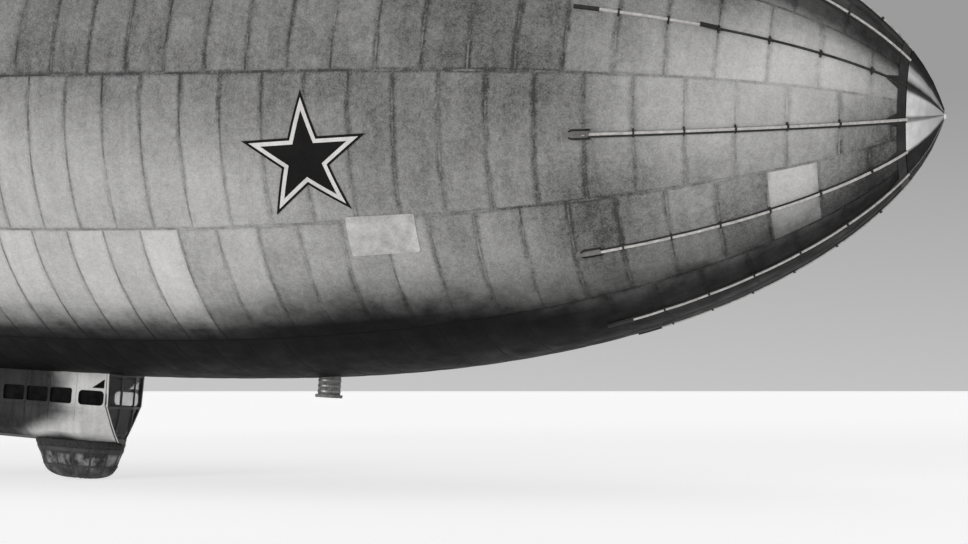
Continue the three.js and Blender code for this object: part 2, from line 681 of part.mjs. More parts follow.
function makeNacelle(name, side) {
  const start = stationX(NACELLE_START);
  const profile = [
    [start - NACELLE_LENGTH, 0],
    [start - NACELLE_LENGTH, 30],
    [start - NACELLE_LENGTH * 0.78, 120],
    [start - NACELLE_LENGTH * 0.45, 195],
    [start - NACELLE_LENGTH * 0.15, NACELLE_RADIUS],
    [start - 20, NACELLE_RADIUS],
    [start, NACELLE_RADIUS - 25],
    [start, 0],
  ];
  const flat = block(
    [start + 100, side * (ENGINE_Y - NACELLE_RADIUS + 12) + side * SEAT, ENGINE_Z - 300],
    [start - NACELLE_LENGTH, side * (ENGINE_Y - NACELLE_RADIUS - 100), ENGINE_Z + 300],
  );
  const body = turned(profile, 24).translate([0, side * ENGINE_Y, ENGINE_Z]).subtract(flat);
  addPart(name, body, MATERIALS.cabin);
}

// Radial engine: crankcase, five cylinders and the shaft
function makeEngine(name, side) {
  const back = stationX(NACELLE_START) + SEAT;
  const hubBack = stationX(PROPELLER_STATION) - HUB_LENGTH / 2;
  const shaftEnd = hubBack - 0.5;
  const profile = [
    [back, 0],
    [back, 120],
    [back + 90, 120],
    [back + 210, 85],
    [back + 240, 45],
    [back + 240, 24],
    [shaftEnd, 24],
    [shaftEnd, 0],
  ];
  const pieces = [turned(profile, 16)];
  const cylinderX = back + 100;
  for (let i = 0; i < 5; i += 1) {
    const angle = radians(90 + i * 72);
    const at = (radius) => [cylinderX, radius * Math.cos(angle), radius * Math.sin(angle)];
    pieces.push(rod(at(80), at(215), 48, 8));
    pieces.push(rod(at(210), at(268), 56, 8));
  }
  addPart(name, join(pieces).translate([0, side * ENGINE_Y, ENGINE_Z]), MATERIALS.iron);
}

// Propeller blade: a thin lens section that tapers and twists from root to tip
function propellerBlade() {
  const section = new THREE.Shape();
  section.moveTo(-0.5, 0);
  section.quadraticCurveTo(-0.1, 0.2, 0.5, 0);
  section.quadraticCurveTo(0, -0.1, -0.5, 0);
  const steps = 8;
  const geometry = new THREE.ExtrudeGeometry(section, {
    depth: 1, steps, bevelEnabled: false, curveSegments: 4,
  });
  const points = geometry.attributes.position;
  for (let i = 0; i < points.count; i += 1) {
    const t = points.getZ(i);
    const chord = 58 + 62 * Math.sin(Math.PI * Math.min(1, 0.12 + t * 0.86));
    const thickness = chord * (1.3 - 0.8 * t);
    const twist = radians(58 - 40 * t);
    const a = points.getX(i) * chord;
    const b = points.getY(i) * thickness;
    points.setXYZ(
      i,
      a * Math.sin(twist) + b * Math.cos(twist),
      -a * Math.cos(twist) + b * Math.sin(twist),
      40 + (PROPELLER_RADIUS - 40) * t,
    );
  }
  return solidOf(geometry);
}

function makePropeller(name, side) {
  const hubProfile = [
    [-HUB_LENGTH / 2, 0],
    [-HUB_LENGTH / 2, 52],
    [HUB_LENGTH / 2, 52],
    [HUB_LENGTH / 2 + 18, 30],
    [HUB_LENGTH / 2 + 18, 0],
  ];
  const blade = propellerBlade().rotate([-90, 0, 0]);
  const propeller = join([turned(hubProfile, 16), blade, blade.rotate([180, 0, 0])]);
  const hub = [stationX(PROPELLER_STATION), side * ENGINE_Y, ENGINE_Z];
  addPart(name, propeller.translate(hub), MATERIALS.wood);
}

// A round fitting that stands out of the hull: a profile of [height, radius] from a base inside the hull
function hullFitting(name, s, turn, profile, material) {
  const points = profile.map(([height, radius]) => new THREE.Vector2(radius, height));
  const geometry = new THREE.LatheGeometry(points, 20);
  const base = hullRadius(s);
  geometry.translate(stationX(s), base, 0);
  addPart(name, solidOf(geometry).subtract(hullCutter), material, radians(turn));
}

function makeFittings() {
  hullFitting('filling_neck', NECK_STATION, -90, [
    [-60, 0],
    [-60, NECK_RADIUS],
    [NECK_DROP - 30, NECK_RADIUS],
    [NECK_DROP - 30, NECK_RADIUS + 28],
    [NECK_DROP, NECK_RADIUS + 28],
    [NECK_DROP, 0],
  ], MATERIALS.fabric);
  hullFitting('gas_valve_top', 11400, 90, [
    [-60, 0], [-60, 330], [18, 330], [34, 300], [60, 120], [60, 0],
  ], MATERIALS.sheet);
  hullFitting('gas_valve_belly', 15400, -90, [
    [-60, 0], [-60, 260], [16, 260], [30, 235], [70, 110], [70, 0],
  ], MATERIALS.sheet);
}

makeEnvelope();
makeNose();
makeBattens();
makeTailCap();
makeTail();
makeCabin();
makeBumper();
for (const [label, side] of [['right', -1], ['left', 1]]) {
  makeOutrigger(`outrigger_${label}`, side);
  makeNacelle(`nacelle_${label}`, side);
  makeEngine(`engine_${label}`, side);
  makePropeller(`propeller_${label}`, side);
}
makeFittings();

export default airship;
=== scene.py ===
# %% [markdown]
# The airship as a lesson in hard and soft surfaces.
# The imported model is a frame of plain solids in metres, with the nose along +X and the airship's right side
# at -Y. Loading it first means that every new piece is made in place around real sizes, with no fitting.

# %% Load the frame
import math
import random

import bmesh
import bpy
from mathutils import Matrix, Vector, noise
from mathutils.bvhtree import BVHTree


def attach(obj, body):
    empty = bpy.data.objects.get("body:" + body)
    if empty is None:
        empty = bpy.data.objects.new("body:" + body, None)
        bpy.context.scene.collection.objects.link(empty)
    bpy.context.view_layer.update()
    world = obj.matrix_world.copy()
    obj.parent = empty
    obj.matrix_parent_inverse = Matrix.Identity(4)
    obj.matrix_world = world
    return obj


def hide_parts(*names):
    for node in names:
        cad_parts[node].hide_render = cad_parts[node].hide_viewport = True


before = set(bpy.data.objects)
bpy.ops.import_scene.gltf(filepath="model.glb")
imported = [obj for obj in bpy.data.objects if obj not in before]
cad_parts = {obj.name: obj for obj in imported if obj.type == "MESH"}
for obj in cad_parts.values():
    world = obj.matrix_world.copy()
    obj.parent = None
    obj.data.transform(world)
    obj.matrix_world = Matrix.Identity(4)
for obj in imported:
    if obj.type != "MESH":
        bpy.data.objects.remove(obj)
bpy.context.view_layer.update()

# %% [markdown]
# Every finish is a small tree of nodes. Wiring sockets by hand hides the idea behind the finish, so a small
# class gives one short call per node. It always starts from Object coordinates, which stay with the piece
# in any view, unlike window or camera coordinates.

# %% A short way to write a finish
class Finish:
    """A material around one Principled shader, with a call for each kind of node."""

    def __init__(self, name, colour, roughness, metallic=0.0, specular=0.5):
        self.material = bpy.data.materials.new(name)
        self.material.use_nodes = True
        self.tree = self.material.node_tree
        self.shader = self.tree.nodes["Principled BSDF"]
        self.shader.inputs["Base Color"].default_value = (*colour, 1)
        self.shader.inputs["Roughness"].default_value = roughness
        self.shader.inputs["Metallic"].default_value = metallic
        self.shader.inputs["Specular IOR Level"].default_value = specular
        self.place = self.add("ShaderNodeTexCoord").outputs["Object"]

    def add(self, kind, inputs=None, **settings):
        made = self.tree.nodes.new(kind)
        for key, value in settings.items():
            setattr(made, key, value)
        for key, value in (inputs or {}).items():
            self.feed(made.inputs[key], value)
        return made

    def feed(self, socket, value):
        if isinstance(value, bpy.types.NodeSocket):
            self.tree.links.new(value, socket)
        else:
            socket.default_value = value

    def math(self, operation, first, second=0.0, clamp=False):
        made = self.add("ShaderNodeMath", {0: first, 1: second}, operation=operation, use_clamp=clamp)
        return made.outputs[0]

    def span(self, value, low, high, to_low=0.0, to_high=1.0, smooth=False):
        made = self.add("ShaderNodeMapRange", {0: value, 1: low, 2: high, 3: to_low, 4: to_high})
        made.interpolation_type = "SMOOTHSTEP" if smooth else "LINEAR"
        return made.outputs[0]

    def stretched(self, scale, vector=None):
        made = self.add("ShaderNodeMapping", {"Vector": vector or self.place, "Scale": scale})
        return made.outputs[0]

    def noise(self, scale, detail=3.0, roughness=0.55, vector=None):
        inputs = {"Vector": vector or self.place, "Scale": scale, "Detail": detail, "Roughness": roughness}
        return self.add("ShaderNodeTexNoise", inputs).outputs[0]

    def times(self, first, second):
        return self.math("MULTIPLY", first, second)

    def plus(self, first, second, clamp=False):
        return self.math("ADD", first, second, clamp)

    def away(self, value, middle):
        """How far a value lies from a middle."""
        return self.math("ABSOLUTE", self.math("SUBTRACT", value, middle))

    def total(self, *weighted):
        """The sum of (socket, weight) pairs."""
        so_far = 0.0
        for socket, weight in weighted:
            so_far = self.plus(so_far, self.times(socket, weight))
        return so_far

    def mix(self, share, first, second):
        made = self.add("ShaderNodeMix", {0: share, 6: first, 7: second}, data_type="RGBA")
        return made.outputs[2]

    def parts(self, vector=None):
        return self.add("ShaderNodeSeparateXYZ", {0: vector or self.place}).outputs

    def colour(self, value):
        self.feed(self.shader.inputs["Base Color"], value)

    def roughness(self, value):
        self.feed(self.shader.inputs["Roughness"], value)

    def relief(self, height, depth, strength=1.0):
        inputs = {"Height": height, "Distance": depth, "Strength": strength}
        self.feed(self.shader.inputs["Normal"], self.add("ShaderNodeBump", inputs).outputs[0])


def grey(value, warmth=0.0):
    """A grey with a slight cast, as the base colour of a finish."""
    return (value * (1 + warmth), value, value * (1 - warmth))


def rgba(value, warmth=0.0):
    return (*grey(value, warmth), 1)


print("finish helper ready")

# %% [markdown]
# Weathered surfaces share a recipe: a broad cloudy tone, a finer mottle and a little roughness change. One
# function holds it, and each material asks for its own scale and strength, so the greys stay related.

# %% The shared weathering recipe
def weathered(finish, low, high, cloud=1.2, mottle=14.0, warmth=0.02):
    """A colour that drifts between two greys in clouds, with a finer mottle over it."""
    clouds = finish.noise(cloud, 4.0, 0.6)
    speckle = finish.noise(mottle, 3.0, 0.65)
    share = finish.span(finish.total((clouds, 0.65), (speckle, 0.35)), 0.32, 0.68)
    return finish.mix(share, rgba(low, warmth), rgba(high, warmth))


def plain_finish(name, low, high, roughness, metallic=0.0, cloud=1.2, mottle=14.0, depth=0.0, warmth=0.02,
                 specular=0.4):
    """A simple weathered surface with bump from its own mottle."""
    finish = Finish(name, grey((low + high) / 2, warmth), roughness, metallic, specular)
    finish.colour(weathered(finish, low, high, cloud, mottle, warmth))
    wear = finish.noise(mottle * 1.7, 3.0)
    finish.roughness(finish.span(wear, 0.3, 0.7, roughness - 0.1, min(1.0, roughness + 0.1)))
    if depth:
        finish.relief(wear, depth)
    return finish.material


print("weathering recipe ready")

# %% [markdown]
# A piece is made in a bmesh and then handed to an object. Doing the handover in one place makes sure that
# every piece has a body to ride on and a finish, and merged points and outward faces unless its mesh is kept as
# made.

# %% From a bmesh to a piece
SHARP_ANGLE = math.radians(38)


def merge(bm):
    bmesh.ops.remove_doubles(bm, verts=bm.verts, dist=1e-5)


def loose_object(name, bm):
    """An object with no finish yet, made of a bmesh that is then freed."""
    mesh = bpy.data.meshes.new(name)
    bm.to_mesh(mesh)
    bm.free()
    made = bpy.data.objects.new(name, mesh)
    bpy.context.scene.collection.objects.link(made)
    return made


def new_piece(name, bm, *materials, slot, body="hull", replaces=(), tidy=True):
    """Turn a finished bmesh into a piece that rides on a body."""
    if tidy:
        bm.normal_update()
        merge(bm)
        bmesh.ops.recalc_face_normals(bm, faces=bm.faces)
    for face in bm.faces:
        face.smooth = True
    piece = loose_object(name, bm)
    piece.data.set_sharp_from_angle(angle=SHARP_ANGLE)
    for material in materials:
        piece.data.materials.append(material)
    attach(piece, body)
    if replaces:
        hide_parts(*replaces)
    print(f"{name}: {len(piece.data.polygons)} faces")
    return piece


def paint_nodes(material, *names):
    """Give carried-over solids a better material in their own slots."""
    for name in names:
        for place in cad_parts[name].material_slots:
            place.material = material


# %% [markdown]
# A few shapes come back all over an airship: round rods, boxes, turned fittings and laths that follow a
# curve. Each is one bmesh operator or two, wrapped so that its call reads like a drawing note.

# %% Shapes that repeat
def rod(bm, start, end, radius, sides=10, end_radius=None):
    """A round rod or cone between two points."""
    start, end = Vector(start), Vector(end)
    along = end - start
    place = Matrix.Translation((start + end) / 2) @ along.to_track_quat("Z", "Y").to_matrix().to_4x4()
    tip = radius if end_radius is None else end_radius
    bmesh.ops.create_cone(
        bm, cap_ends=True, segments=sides, radius1=radius, radius2=tip, depth=along.length, matrix=place)


def box(bm, low, high, bevel, place=Matrix()):
    """A box between two corners, with its edges eased."""
    low, high = Vector(low), Vector(high)
    shape = Matrix.Translation((low + high) / 2) @ Matrix.Diagonal((*(high - low), 1))
    verts = bmesh.ops.create_cube(bm, size=1, matrix=place @ shape)["verts"]
    edges = list({edge for vert in verts for edge in vert.link_edges})
    bmesh.ops.bevel(bm, geom=edges, offset=bevel, segments=2, profile=0.5, affect="EDGES", material=-1)


def turned(bm, profile, centre, axis="X", steps=48):
    """Spin a line of (along, radius) points about an axis through a centre."""
    out, run = Vector((0, 0, 1)), Vector((1, 0, 0))
    if axis == "Z":
        out, run = run, out
    centre = Vector(centre)
    verts = [bm.verts.new(centre + run * along + out * radius) for along, radius in profile]
    edges = [bm.edges.new(pair) for pair in zip(verts, verts[1:])]
    bmesh.ops.spin(bm, geom=verts + edges, cent=centre, axis=run, angle=math.tau, steps=steps, use_merge=True)


def extruded(bm, faces):
    """Extrude faces as one region; gives the new points and the new faces."""
    grown = bmesh.ops.extrude_face_region(bm, geom=faces)["geom"]
    kinds = bmesh.types.BMVert, bmesh.types.BMFace
    return [[item for item in grown if isinstance(item, kind)] for kind in kinds]


def sweep(bm, section, places):
    """Extrude a flat section of (y, z) points through a row of 4x4 places and close both ends."""
    faces = [bm.faces.new([bm.verts.new(places[0] @ Vector((0, y, z))) for y, z in section])]
    for before, after in zip(places, places[1:]):
        verts, faces = extruded(bm, faces[:1])
        bmesh.ops.transform(bm, matrix=after @ before.inverted(), verts=verts)


def axes_at(point, x, y):
    """A 4x4 place at a point, with its X and Y along two unit directions."""
    return Matrix.Translation(point) @ Matrix((x, y, x.cross(y))).transposed().to_4x4()


def directions(points):
    """The direction of a line of points at each of them."""
    neighbours = zip(points[:1] + points[:-1], points[1:] + points[-1:])
    return [(after - before).normalized() for before, after in neighbours]


def everything(bm):
    return bm.verts[:] + bm.edges[:] + bm.faces[:]


def round_corners(bm, radius, segments):
    bmesh.ops.bevel(
        bm, geom=bm.verts[:], offset=radius, segments=segments, profile=0.5, affect="VERTICES", material=-1)


def add_mesh(bm, part, place=Matrix()):
    """Put a finished part in its place in a bigger mesh and free it."""
    bmesh.ops.transform(part, matrix=place, verts=part.verts)
    mesh = bpy.data.meshes.new("part")
    part.to_mesh(mesh)
    part.free()
    bm.from_mesh(mesh)
    bpy.data.meshes.remove(mesh)


def rounded_section(width, height, corner=0.3):
    """A lath's section with eased upper corners, standing on its base."""
    half = width / 2
    ease = min(width, height) * corner
    return [(-half, 0), (half, 0), (half, height - ease), (half - ease, height), (ease - half, height),
            (-half, height - ease)]


def round_section(radius, sides=8):
    return [(radius * math.cos(math.tau * i / sides), radius * math.sin(math.tau * i / sides))
            for i in range(sides)]


print("shape helpers ready")

# %% [markdown]
# The envelope is a body of revolution with a rounded nose and a long taper. Its outline is a formula, so a
# fine mesh, the seam tapes, the star and the nose laths can all ask for the same surface and never part.
# Gas pressure crowns each of the twelve gores a little between its seams, and each panel as well.

# %% The hull's surface as a function
HULL_LENGTH = 25.0
HULL_RADIUS = 3.0
NOSE_LENGTH = 12.0
MIDDLE_LENGTH = 1.3
TAIL_LENGTH = HULL_LENGTH - NOSE_LENGTH - MIDDLE_LENGTH
NOSE_POWER, NOSE_ROUNDING = 3.45, 0.64
TAIL_POWER, TAIL_ROUNDING = 2.2, 0.95
TIP_X = 11.6
GORE = math.radians(30)
PANEL = 0.421
ODD_GORE_SEAM = 0.413
RINGS_PER_PANEL = 12
STAGGER_RINGS = 5
GORE_CROWN = 0.012
PANEL_CROWN = 0.006


def hull_radius(station):
    if station < NOSE_LENGTH:
        return HULL_RADIUS * (1 - (1 - station / NOSE_LENGTH) ** NOSE_POWER) ** NOSE_ROUNDING
    share = max(0.0, station - NOSE_LENGTH - MIDDLE_LENGTH) / TAIL_LENGTH
    return HULL_RADIUS * max(0.0, 1 - share ** TAIL_POWER) ** TAIL_ROUNDING


SEAM_TWIST = [(1.0, 0.0), (6.5, -1.9), (25.0, -1.9)]


def by_station(table, station):
    """A value read off a short table of (station, value) by straight lines."""
    if station <= table[0][0]:
        return table[0][1]
    for (start, low), (end, high) in zip(table, table[1:]):
        if station <= end:
            return low + (high - low) * (station - start) / (end - start)
    return table[-1][1]


def twist(station):
    """How far the sewn gores turn around the hull, in radians."""
    return math.radians(by_station(SEAM_TWIST, station))


def first_seam(gore):
    """Station of the first cross seam in a gore; neighbours are staggered."""
    return ODD_GORE_SEAM + (0 if gore % 2 else STAGGER_RINGS * PANEL / RINGS_PER_PANEL)


def crown(station, angle):
    """How far the gas presses the fabric out between its seams."""
    turns = (angle - twist(station)) / GORE
    gore = math.floor(turns)
    across = turns - gore
    along = (station - first_seam(gore)) / PANEL % 1.0
    over_gore = 1 - (2 * across - 1) ** 4
    over_panel = 1 - (2 * along - 1) ** 4
    width = hull_radius(station) / HULL_RADIUS
    return over_gore * width * (GORE_CROWN + PANEL_CROWN * over_panel)


def hull_normal(station, angle):
    step = 0.002
    slope = (hull_radius(station + step) - hull_radius(station - step)) / (2 * step)
    return Vector((slope, -math.cos(angle), math.sin(angle))).normalized()


def hull_point(station, angle, lift=0.0):
    """A point on the hull, by its station aft of the tip and its angle up from the right side."""
    radius = hull_radius(station)
    centre = Vector((TIP_X - station, -radius * math.cos(angle), radius * math.sin(angle)))
    return centre + hull_normal(station, angle) * (crown(station, angle) + lift)


def hull_place(station, angle):
    """A 4x4 place on the hull: X runs aft, Z stands out of the fabric."""
    aft = (hull_point(station + 0.01, angle) - hull_point(station - 0.01, angle)).normalized()
    return axes_at(hull_point(station, angle), aft, hull_normal(station, angle).cross(aft).normalized())


print("widest radius", max(hull_radius(s * 0.5) for s in range(50)))

# %% [markdown]
# The fabric is cotton, rubbered and doped silver-grey. In the photograph each panel has its own tone, seams
# gather dirt, the low band aft is cleaner and the belly is nearly black with a soft edge. On the cloth that
# dark belly and a dark top of the bow are painted shade, and so is a darker upper side. Tones that belong to a
# panel come from a face attribute, seam dirt comes from the UV map that counts panels and gores, the painted
# shade and a few lighter and darker places come from point attributes, and the clouds come from noise. That
# keeps the pattern on the cloth from any side.

# %% Envelope fabric
FABRIC_DARK, FABRIC_LIGHT = 0.055, 0.66
# Colour of the painted shade on the belly and the top of the bow.
BELLY_SHADE_TONE = 0.0022
CLOTH_GLOSS = 0.05


def seam_closeness(finish, value, reach):
    """1 on a whole number and 0 further than reach from it."""
    away = finish.math("PINGPONG", value, 0.5)
    return finish.span(away, 0.0, reach, 1.0, 0.0, smooth=True)


def attribute(finish, name):
    return finish.add("ShaderNodeAttribute", attribute_name=name).outputs["Fac"]


def cloth_colour(finish, dark, light, seams=0.0):
    """Mottled doped cotton with lighter and darker places and painted shade, read from mesh attributes."""
    clouds = finish.noise(0.8, 5.0, 0.62)
    patches = finish.noise(3.4, 4.0, 0.62)
    streaks = finish.noise(1.0, 4.0, 0.65, finish.stretched((7.0, 0.9, 0.9)))
    mottle = finish.noise(18.0, 3.0, 0.7)
    grain = finish.noise(62.0, 2.0, 0.75)
    mixed = finish.total((clouds, 0.24), (patches, 0.24), (streaks, 0.20), (mottle, 0.30), (grain, 0.42),
                         (attribute(finish, "tone_and_shade"), 1.0))
    if seams:
        mixed = finish.math("SUBTRACT", mixed, seams)
    cloth = finish.mix(finish.span(mixed, 0.38, 1.25), rgba(dark, 0.01), rgba(light, 0.01))
    # Painted shade: the belly and the top of the bow turn nearly black, with a ragged soft edge.
    painted_shade = finish.mix(mottle, rgba(BELLY_SHADE_TONE), rgba(BELLY_SHADE_TONE * 3.0))
    black = attribute(finish, "painted_shade")
    halfway = finish.times(black, finish.math("SUBTRACT", 1.0, black))
    ragged = finish.times(halfway, finish.span(patches, 0.3, 0.7, -0.8, 0.8))
    edge = finish.plus(black, ragged, clamp=True)
    return finish.mix(edge, cloth, painted_shade), patches, grain


def envelope_finish():
    finish = Finish("envelope_fabric", grey(0.3), 0.62, specular=CLOTH_GLOSS)
    counted = finish.add("ShaderNodeUVMap", uv_map="panels").outputs[0]
    along, across, _ = finish.parts(counted)
    wobble = finish.span(finish.noise(2.4, 3.0), 0.3, 0.7, -0.035, 0.035)
    ragged = finish.span(finish.noise(3.4, 5.0, 0.7), 0.36, 0.62, 0.0, 1.0)
    by_cross = seam_closeness(finish, finish.plus(along, wobble), 0.12)
    by_gore = seam_closeness(finish, across, 0.03)
    dirt = finish.times(finish.math("MAXIMUM", by_cross, by_gore), ragged)
    seams_and_panels = finish.total((dirt, 0.23), (attribute(finish, "panel_tone"), -1.0))
    cloth, patches, grain = cloth_colour(finish, FABRIC_DARK, FABRIC_LIGHT, seams_and_panels)
    finish.colour(cloth)
    finish.roughness(finish.span(patches, 0.3, 0.7, 0.5, 0.72))
    wrinkles = finish.noise(1.0, 4.0, 0.6, finish.stretched((16.0, 3.0, 3.0)))
    finish.relief(finish.total((wrinkles, 0.7), (grain, 0.3)), 0.005, 0.7)
    return finish.material


def tape_finish():
    finish = Finish("seam_tape", grey(0.2), 0.6, specular=CLOTH_GLOSS)
    wear = finish.span(finish.noise(2.7, 4.0, 0.7), 0.38, 0.62, 0.0, 0.19)
    cloth, _, grain = cloth_colour(finish, 0.055, 0.62, wear)
    finish.colour(cloth)
    finish.relief(grain, 0.001, 0.5)
    return finish.material


ENVELOPE = envelope_finish()
TAPE = tape_finish()
print("envelope finishes:", ENVELOPE.name, TAPE.name)

# %% [markdown]
# A spin makes the envelope: one meridian of points turned once around. The rings are a twelfth of a panel
# apart, so that every cross seam, staggered or not, falls on a ring, and seven steps fill a gore. Each
# point keeps its ring and step in two layers, so later cells find seams without searching by distance.

# %% Envelope mesh
STEPS_PER_GORE = 7
STEPS = 12 * STEPS_PER_GORE
RING = PANEL / RINGS_PER_PANEL
FIRST_RING, LAST_RING = -3, 687


def spun_envelope():
    bm = bmesh.new()
    ring_layer = bm.verts.layers.int.new("ring")
    step_layer = bm.verts.layers.int.new("step")
    line = []
    for ring in range(FIRST_RING, LAST_RING + 1):
        station = ODD_GORE_SEAM + ring * RING
        line.append(bm.verts.new((TIP_X - station, -hull_radius(station), 0)))
    edges = [bm.edges.new(pair) for pair in zip(line, line[1:])]
    bmesh.ops.spin(bm, geom=line + edges, cent=(0, 0, 0), axis=(1, 0, 0), angle=math.tau, steps=STEPS,
                   use_merge=True)
    for vert in bm.verts:
        station = TIP_X - vert.co.x
        angle = math.atan2(vert.co.z, -vert.co.y)
        vert[ring_layer] = round((station - ODD_GORE_SEAM) / RING)
        vert[step_layer] = round(angle / math.tau * STEPS) % STEPS
        station = ODD_GORE_SEAM + vert[ring_layer] * RING
        vert.co = hull_point(station, vert[step_layer] * math.tau / STEPS + twist(station))
    bmesh.ops.recalc_face_normals(bm, faces=bm.faces)
    return bm, ring_layer, step_layer


def face_rings(face, ring_layer, step_layer):
    """The lowest ring and the gore of a face, where step numbers wrap around."""
    rings = [vert[ring_layer] for vert in face.verts]
    steps = [vert[step_layer] for vert in face.verts]
    low_step = max(steps) if max(steps) - min(steps) > STEPS_PER_GORE else min(steps)
    return min(rings), low_step


# Lighter and darker places: (station, angle up the side), (reach along, reach around), change of tone.
TONE_SPOTS = [
    ((9.2, -20), (3.0, 15), 0.15),
    ((9.0, -43), (2.6, 11), 0.03),
    ((6.2, -24), (0.9, 9), 0.10),
    ((1.9, -8), (0.9, 19), 0.24),
    ((1.1, 10), (0.5, 13), 0.18),
    ((0.6, 2), (0.25, 9), 0.12),
    ((1.9, 27), (0.5, 9), -0.20),
    ((0.5, -40), (0.4, 32), -0.25),
    ((0.8, -52), (0.5, 9), -0.14),
    ((2.9, -32), (0.6, 19), -0.20),
    ((1.9, -42), (0.6, 9), -0.10),
    ((4.3, -28), (1.3, 16), -0.06),
    ((1.1, 12), (0.5, 14), 0.12),
    ((0.9, -14), (0.3, 8), 0.07),
    ((3.2, -4), (0.6, 8), -0.10),
    ((2.8, 11), (0.5, 7), -0.09),
    ((7.8, -2), (2.0, 7), -0.05),
    ((9.4, -5), (1.2, 8), -0.09),
    ((2.1, -28), (0.5, 7), -0.06),
    ((2.8, -45), (0.5, 7), -0.05),
    ((5.8, -38), (1.0, 7), 0.06),
    ((17.0, -25), (4.0, 22), 0.06),
]
# Painted shade: the upper sides get darker from these stations on, between these angles up the side.
UPPER_SHADE = [(2.4, 0.0), (3.3, -0.15), (25.0, -0.15)]
UPPER_SHADE_FROM, UPPER_SHADE_TO = -3.0, 26.0
UPPER_SHADE_REACH = 16.0
# Painted shade on the belly below an angle that changes along the hull, and on the top of the bow above
# another, with their fades and depths.
BELLY_SHADE_EDGE = [(0.3, -52), (3.0, -55), (4.2, -51), (5.4, -48.5), (7.0, -53.5), (9.2, -52.5), (13.0, -57),
             (25.0, -58)]
BELLY_SHADE_DEPTH = [(2.0, 0.96), (3.4, 1.0)]
BELLY_SHADE_FADE = [(2.6, 30), (4.2, 18), (7.0, 14), (25.0, 10)]
BOW_SHADE_EDGE = [(0.3, 22), (1.0, 29), (1.8, 35), (2.4, 45), (3.0, 62), (3.6, 90)]
BOW_SHADE_FADE = 13.0
BOW_SHADE_DEPTH, BOW_SHADE_END = 0.84, 4.0


def smooth_step(value):
    value = min(1.0, max(0.0, value))
    return value * value * (3 - 2 * value)


def side_angle(vert):
    """Angle above the side, the same on the right and on the left, in degrees."""
    return math.degrees(math.atan2(vert.co.z, abs(vert.co.y)))


def tone_and_shade_at(vert):
    station, angle = TIP_X - vert.co.x, side_angle(vert)
    over = max(UPPER_SHADE_FROM - angle, 0.0, angle - UPPER_SHADE_TO) / UPPER_SHADE_REACH
    tone = by_station(UPPER_SHADE, station) * math.exp(-over * over)
    for (at, side), (length, spread), shade in TONE_SPOTS:
        along, around = (station - at) / length, (angle - side) / spread
        tone += shade * math.exp(-(along * along + around * around))
    return tone


def painted_shade_at(vert):
    """1 where painted shade makes the belly and the top of the bow black, 0 elsewhere, with a soft edge."""
    station, angle = TIP_X - vert.co.x, side_angle(vert)
    below = smooth_step((by_station(BELLY_SHADE_EDGE, station) - angle) / by_station(BELLY_SHADE_FADE, station) + 0.5)
    above = smooth_step((angle - by_station(BOW_SHADE_EDGE, station)) / BOW_SHADE_FADE + 0.5)
    return max(below * by_station(BELLY_SHADE_DEPTH, station), above * BOW_SHADE_DEPTH * (station < BOW_SHADE_END))


def tone_and_shade_layers(bm):
    """Store the tone and the painted shade of every point for the cloth's material."""
    tone_and_shade = bm.verts.layers.float.new("tone_and_shade")
    painted_shade = bm.verts.layers.float.new("painted_shade")
    for vert in bm.verts:
        vert[tone_and_shade], vert[painted_shade] = tone_and_shade_at(vert), painted_shade_at(vert)


bm, RING_LAYER, STEP_LAYER = spun_envelope()
tone_and_shade_layers(bm)
outward = bm.faces[:][0].normal.dot(bm.faces[:][0].calc_center_median() * Vector((0, 1, 1)))
print("envelope:", len(bm.verts), "points, first face outward:", outward > 0)

# %% [markdown]
# Panels differ in tone because they were cut from different bolts and mended at different times. A seeded
# random tone per panel gives the quilt, and a short table names the places that the photograph shows
# lighter.

# %% Panel tones and the panel-counting map
# Paler panels: gore, first and last station, change of tone.
LIGHT_PLACES = [
    (10, 1.00, 1.44, 0.30),
    (10, 6.9, 7.4, 0.26),
    (10, 7.3, 9.6, 0.17),
    (10, 9.6, 12.5, 0.12),
    (11, 6.2, 10.5, 0.05),
    (0, 0.4, 2.4, 0.05),
    (7, 5.2, 5.6, 0.24),
    (4, 2.6, 3.1, 0.16),
    (2, 14.2, 14.7, 0.2),
]
rng = random.Random(12)
panel_tones = {(gore, panel): rng.gauss(0, 0.035) for gore in range(12) for panel in range(-2, 62)}


def panel_tone(gore, panel):
    station = first_seam(gore) + (panel + 0.5) * PANEL
    extra = sum(tone for place, first, last, tone in LIGHT_PLACES if place == gore and first < station < last)
    return panel_tones[gore, panel] + extra


tone_layer = bm.faces.layers.float.new("panel_tone")
uv_layer = bm.loops.layers.uv.new("panels")
for face in bm.faces:
    low_ring, low_step = face_rings(face, RING_LAYER, STEP_LAYER)
    gore = low_step // STEPS_PER_GORE
    shift = 0 if gore % 2 else STAGGER_RINGS
    face[tone_layer] = panel_tone(gore, (low_ring - shift) // RINGS_PER_PANEL)
    for loop in face.loops:
        step = low_step + (loop.vert[STEP_LAYER] - low_step) % STEPS
        loop[uv_layer].uv = ((loop.vert[RING_LAYER] - shift) / RINGS_PER_PANEL, step / STEPS_PER_GORE)
print("panels:", len(panel_tones))

# %% [markdown]
# Each seam is covered by a glued tape. On a copy of the envelope a narrow bevel along the seam edges leaves
# strips that fit the cloth exactly, and everything else is deleted. A solidify then gives them thickness,
# so the tapes are real strips with crisp edges.

# %% Seam tapes
CLOTH_THICKNESS = 0.0012
CROSS_TAPE_HALF, GORE_TAPE_HALF = 0.009, 0.011
CROSS_TAPE_LIFT, GORE_TAPE_LIFT = 0.0006, 0.0012


def is_gore_seam(edge):
    steps = {vert[STEP_LAYER] for vert in edge.verts}
    return len(steps) == 1 and steps.pop() % STEPS_PER_GORE == 0


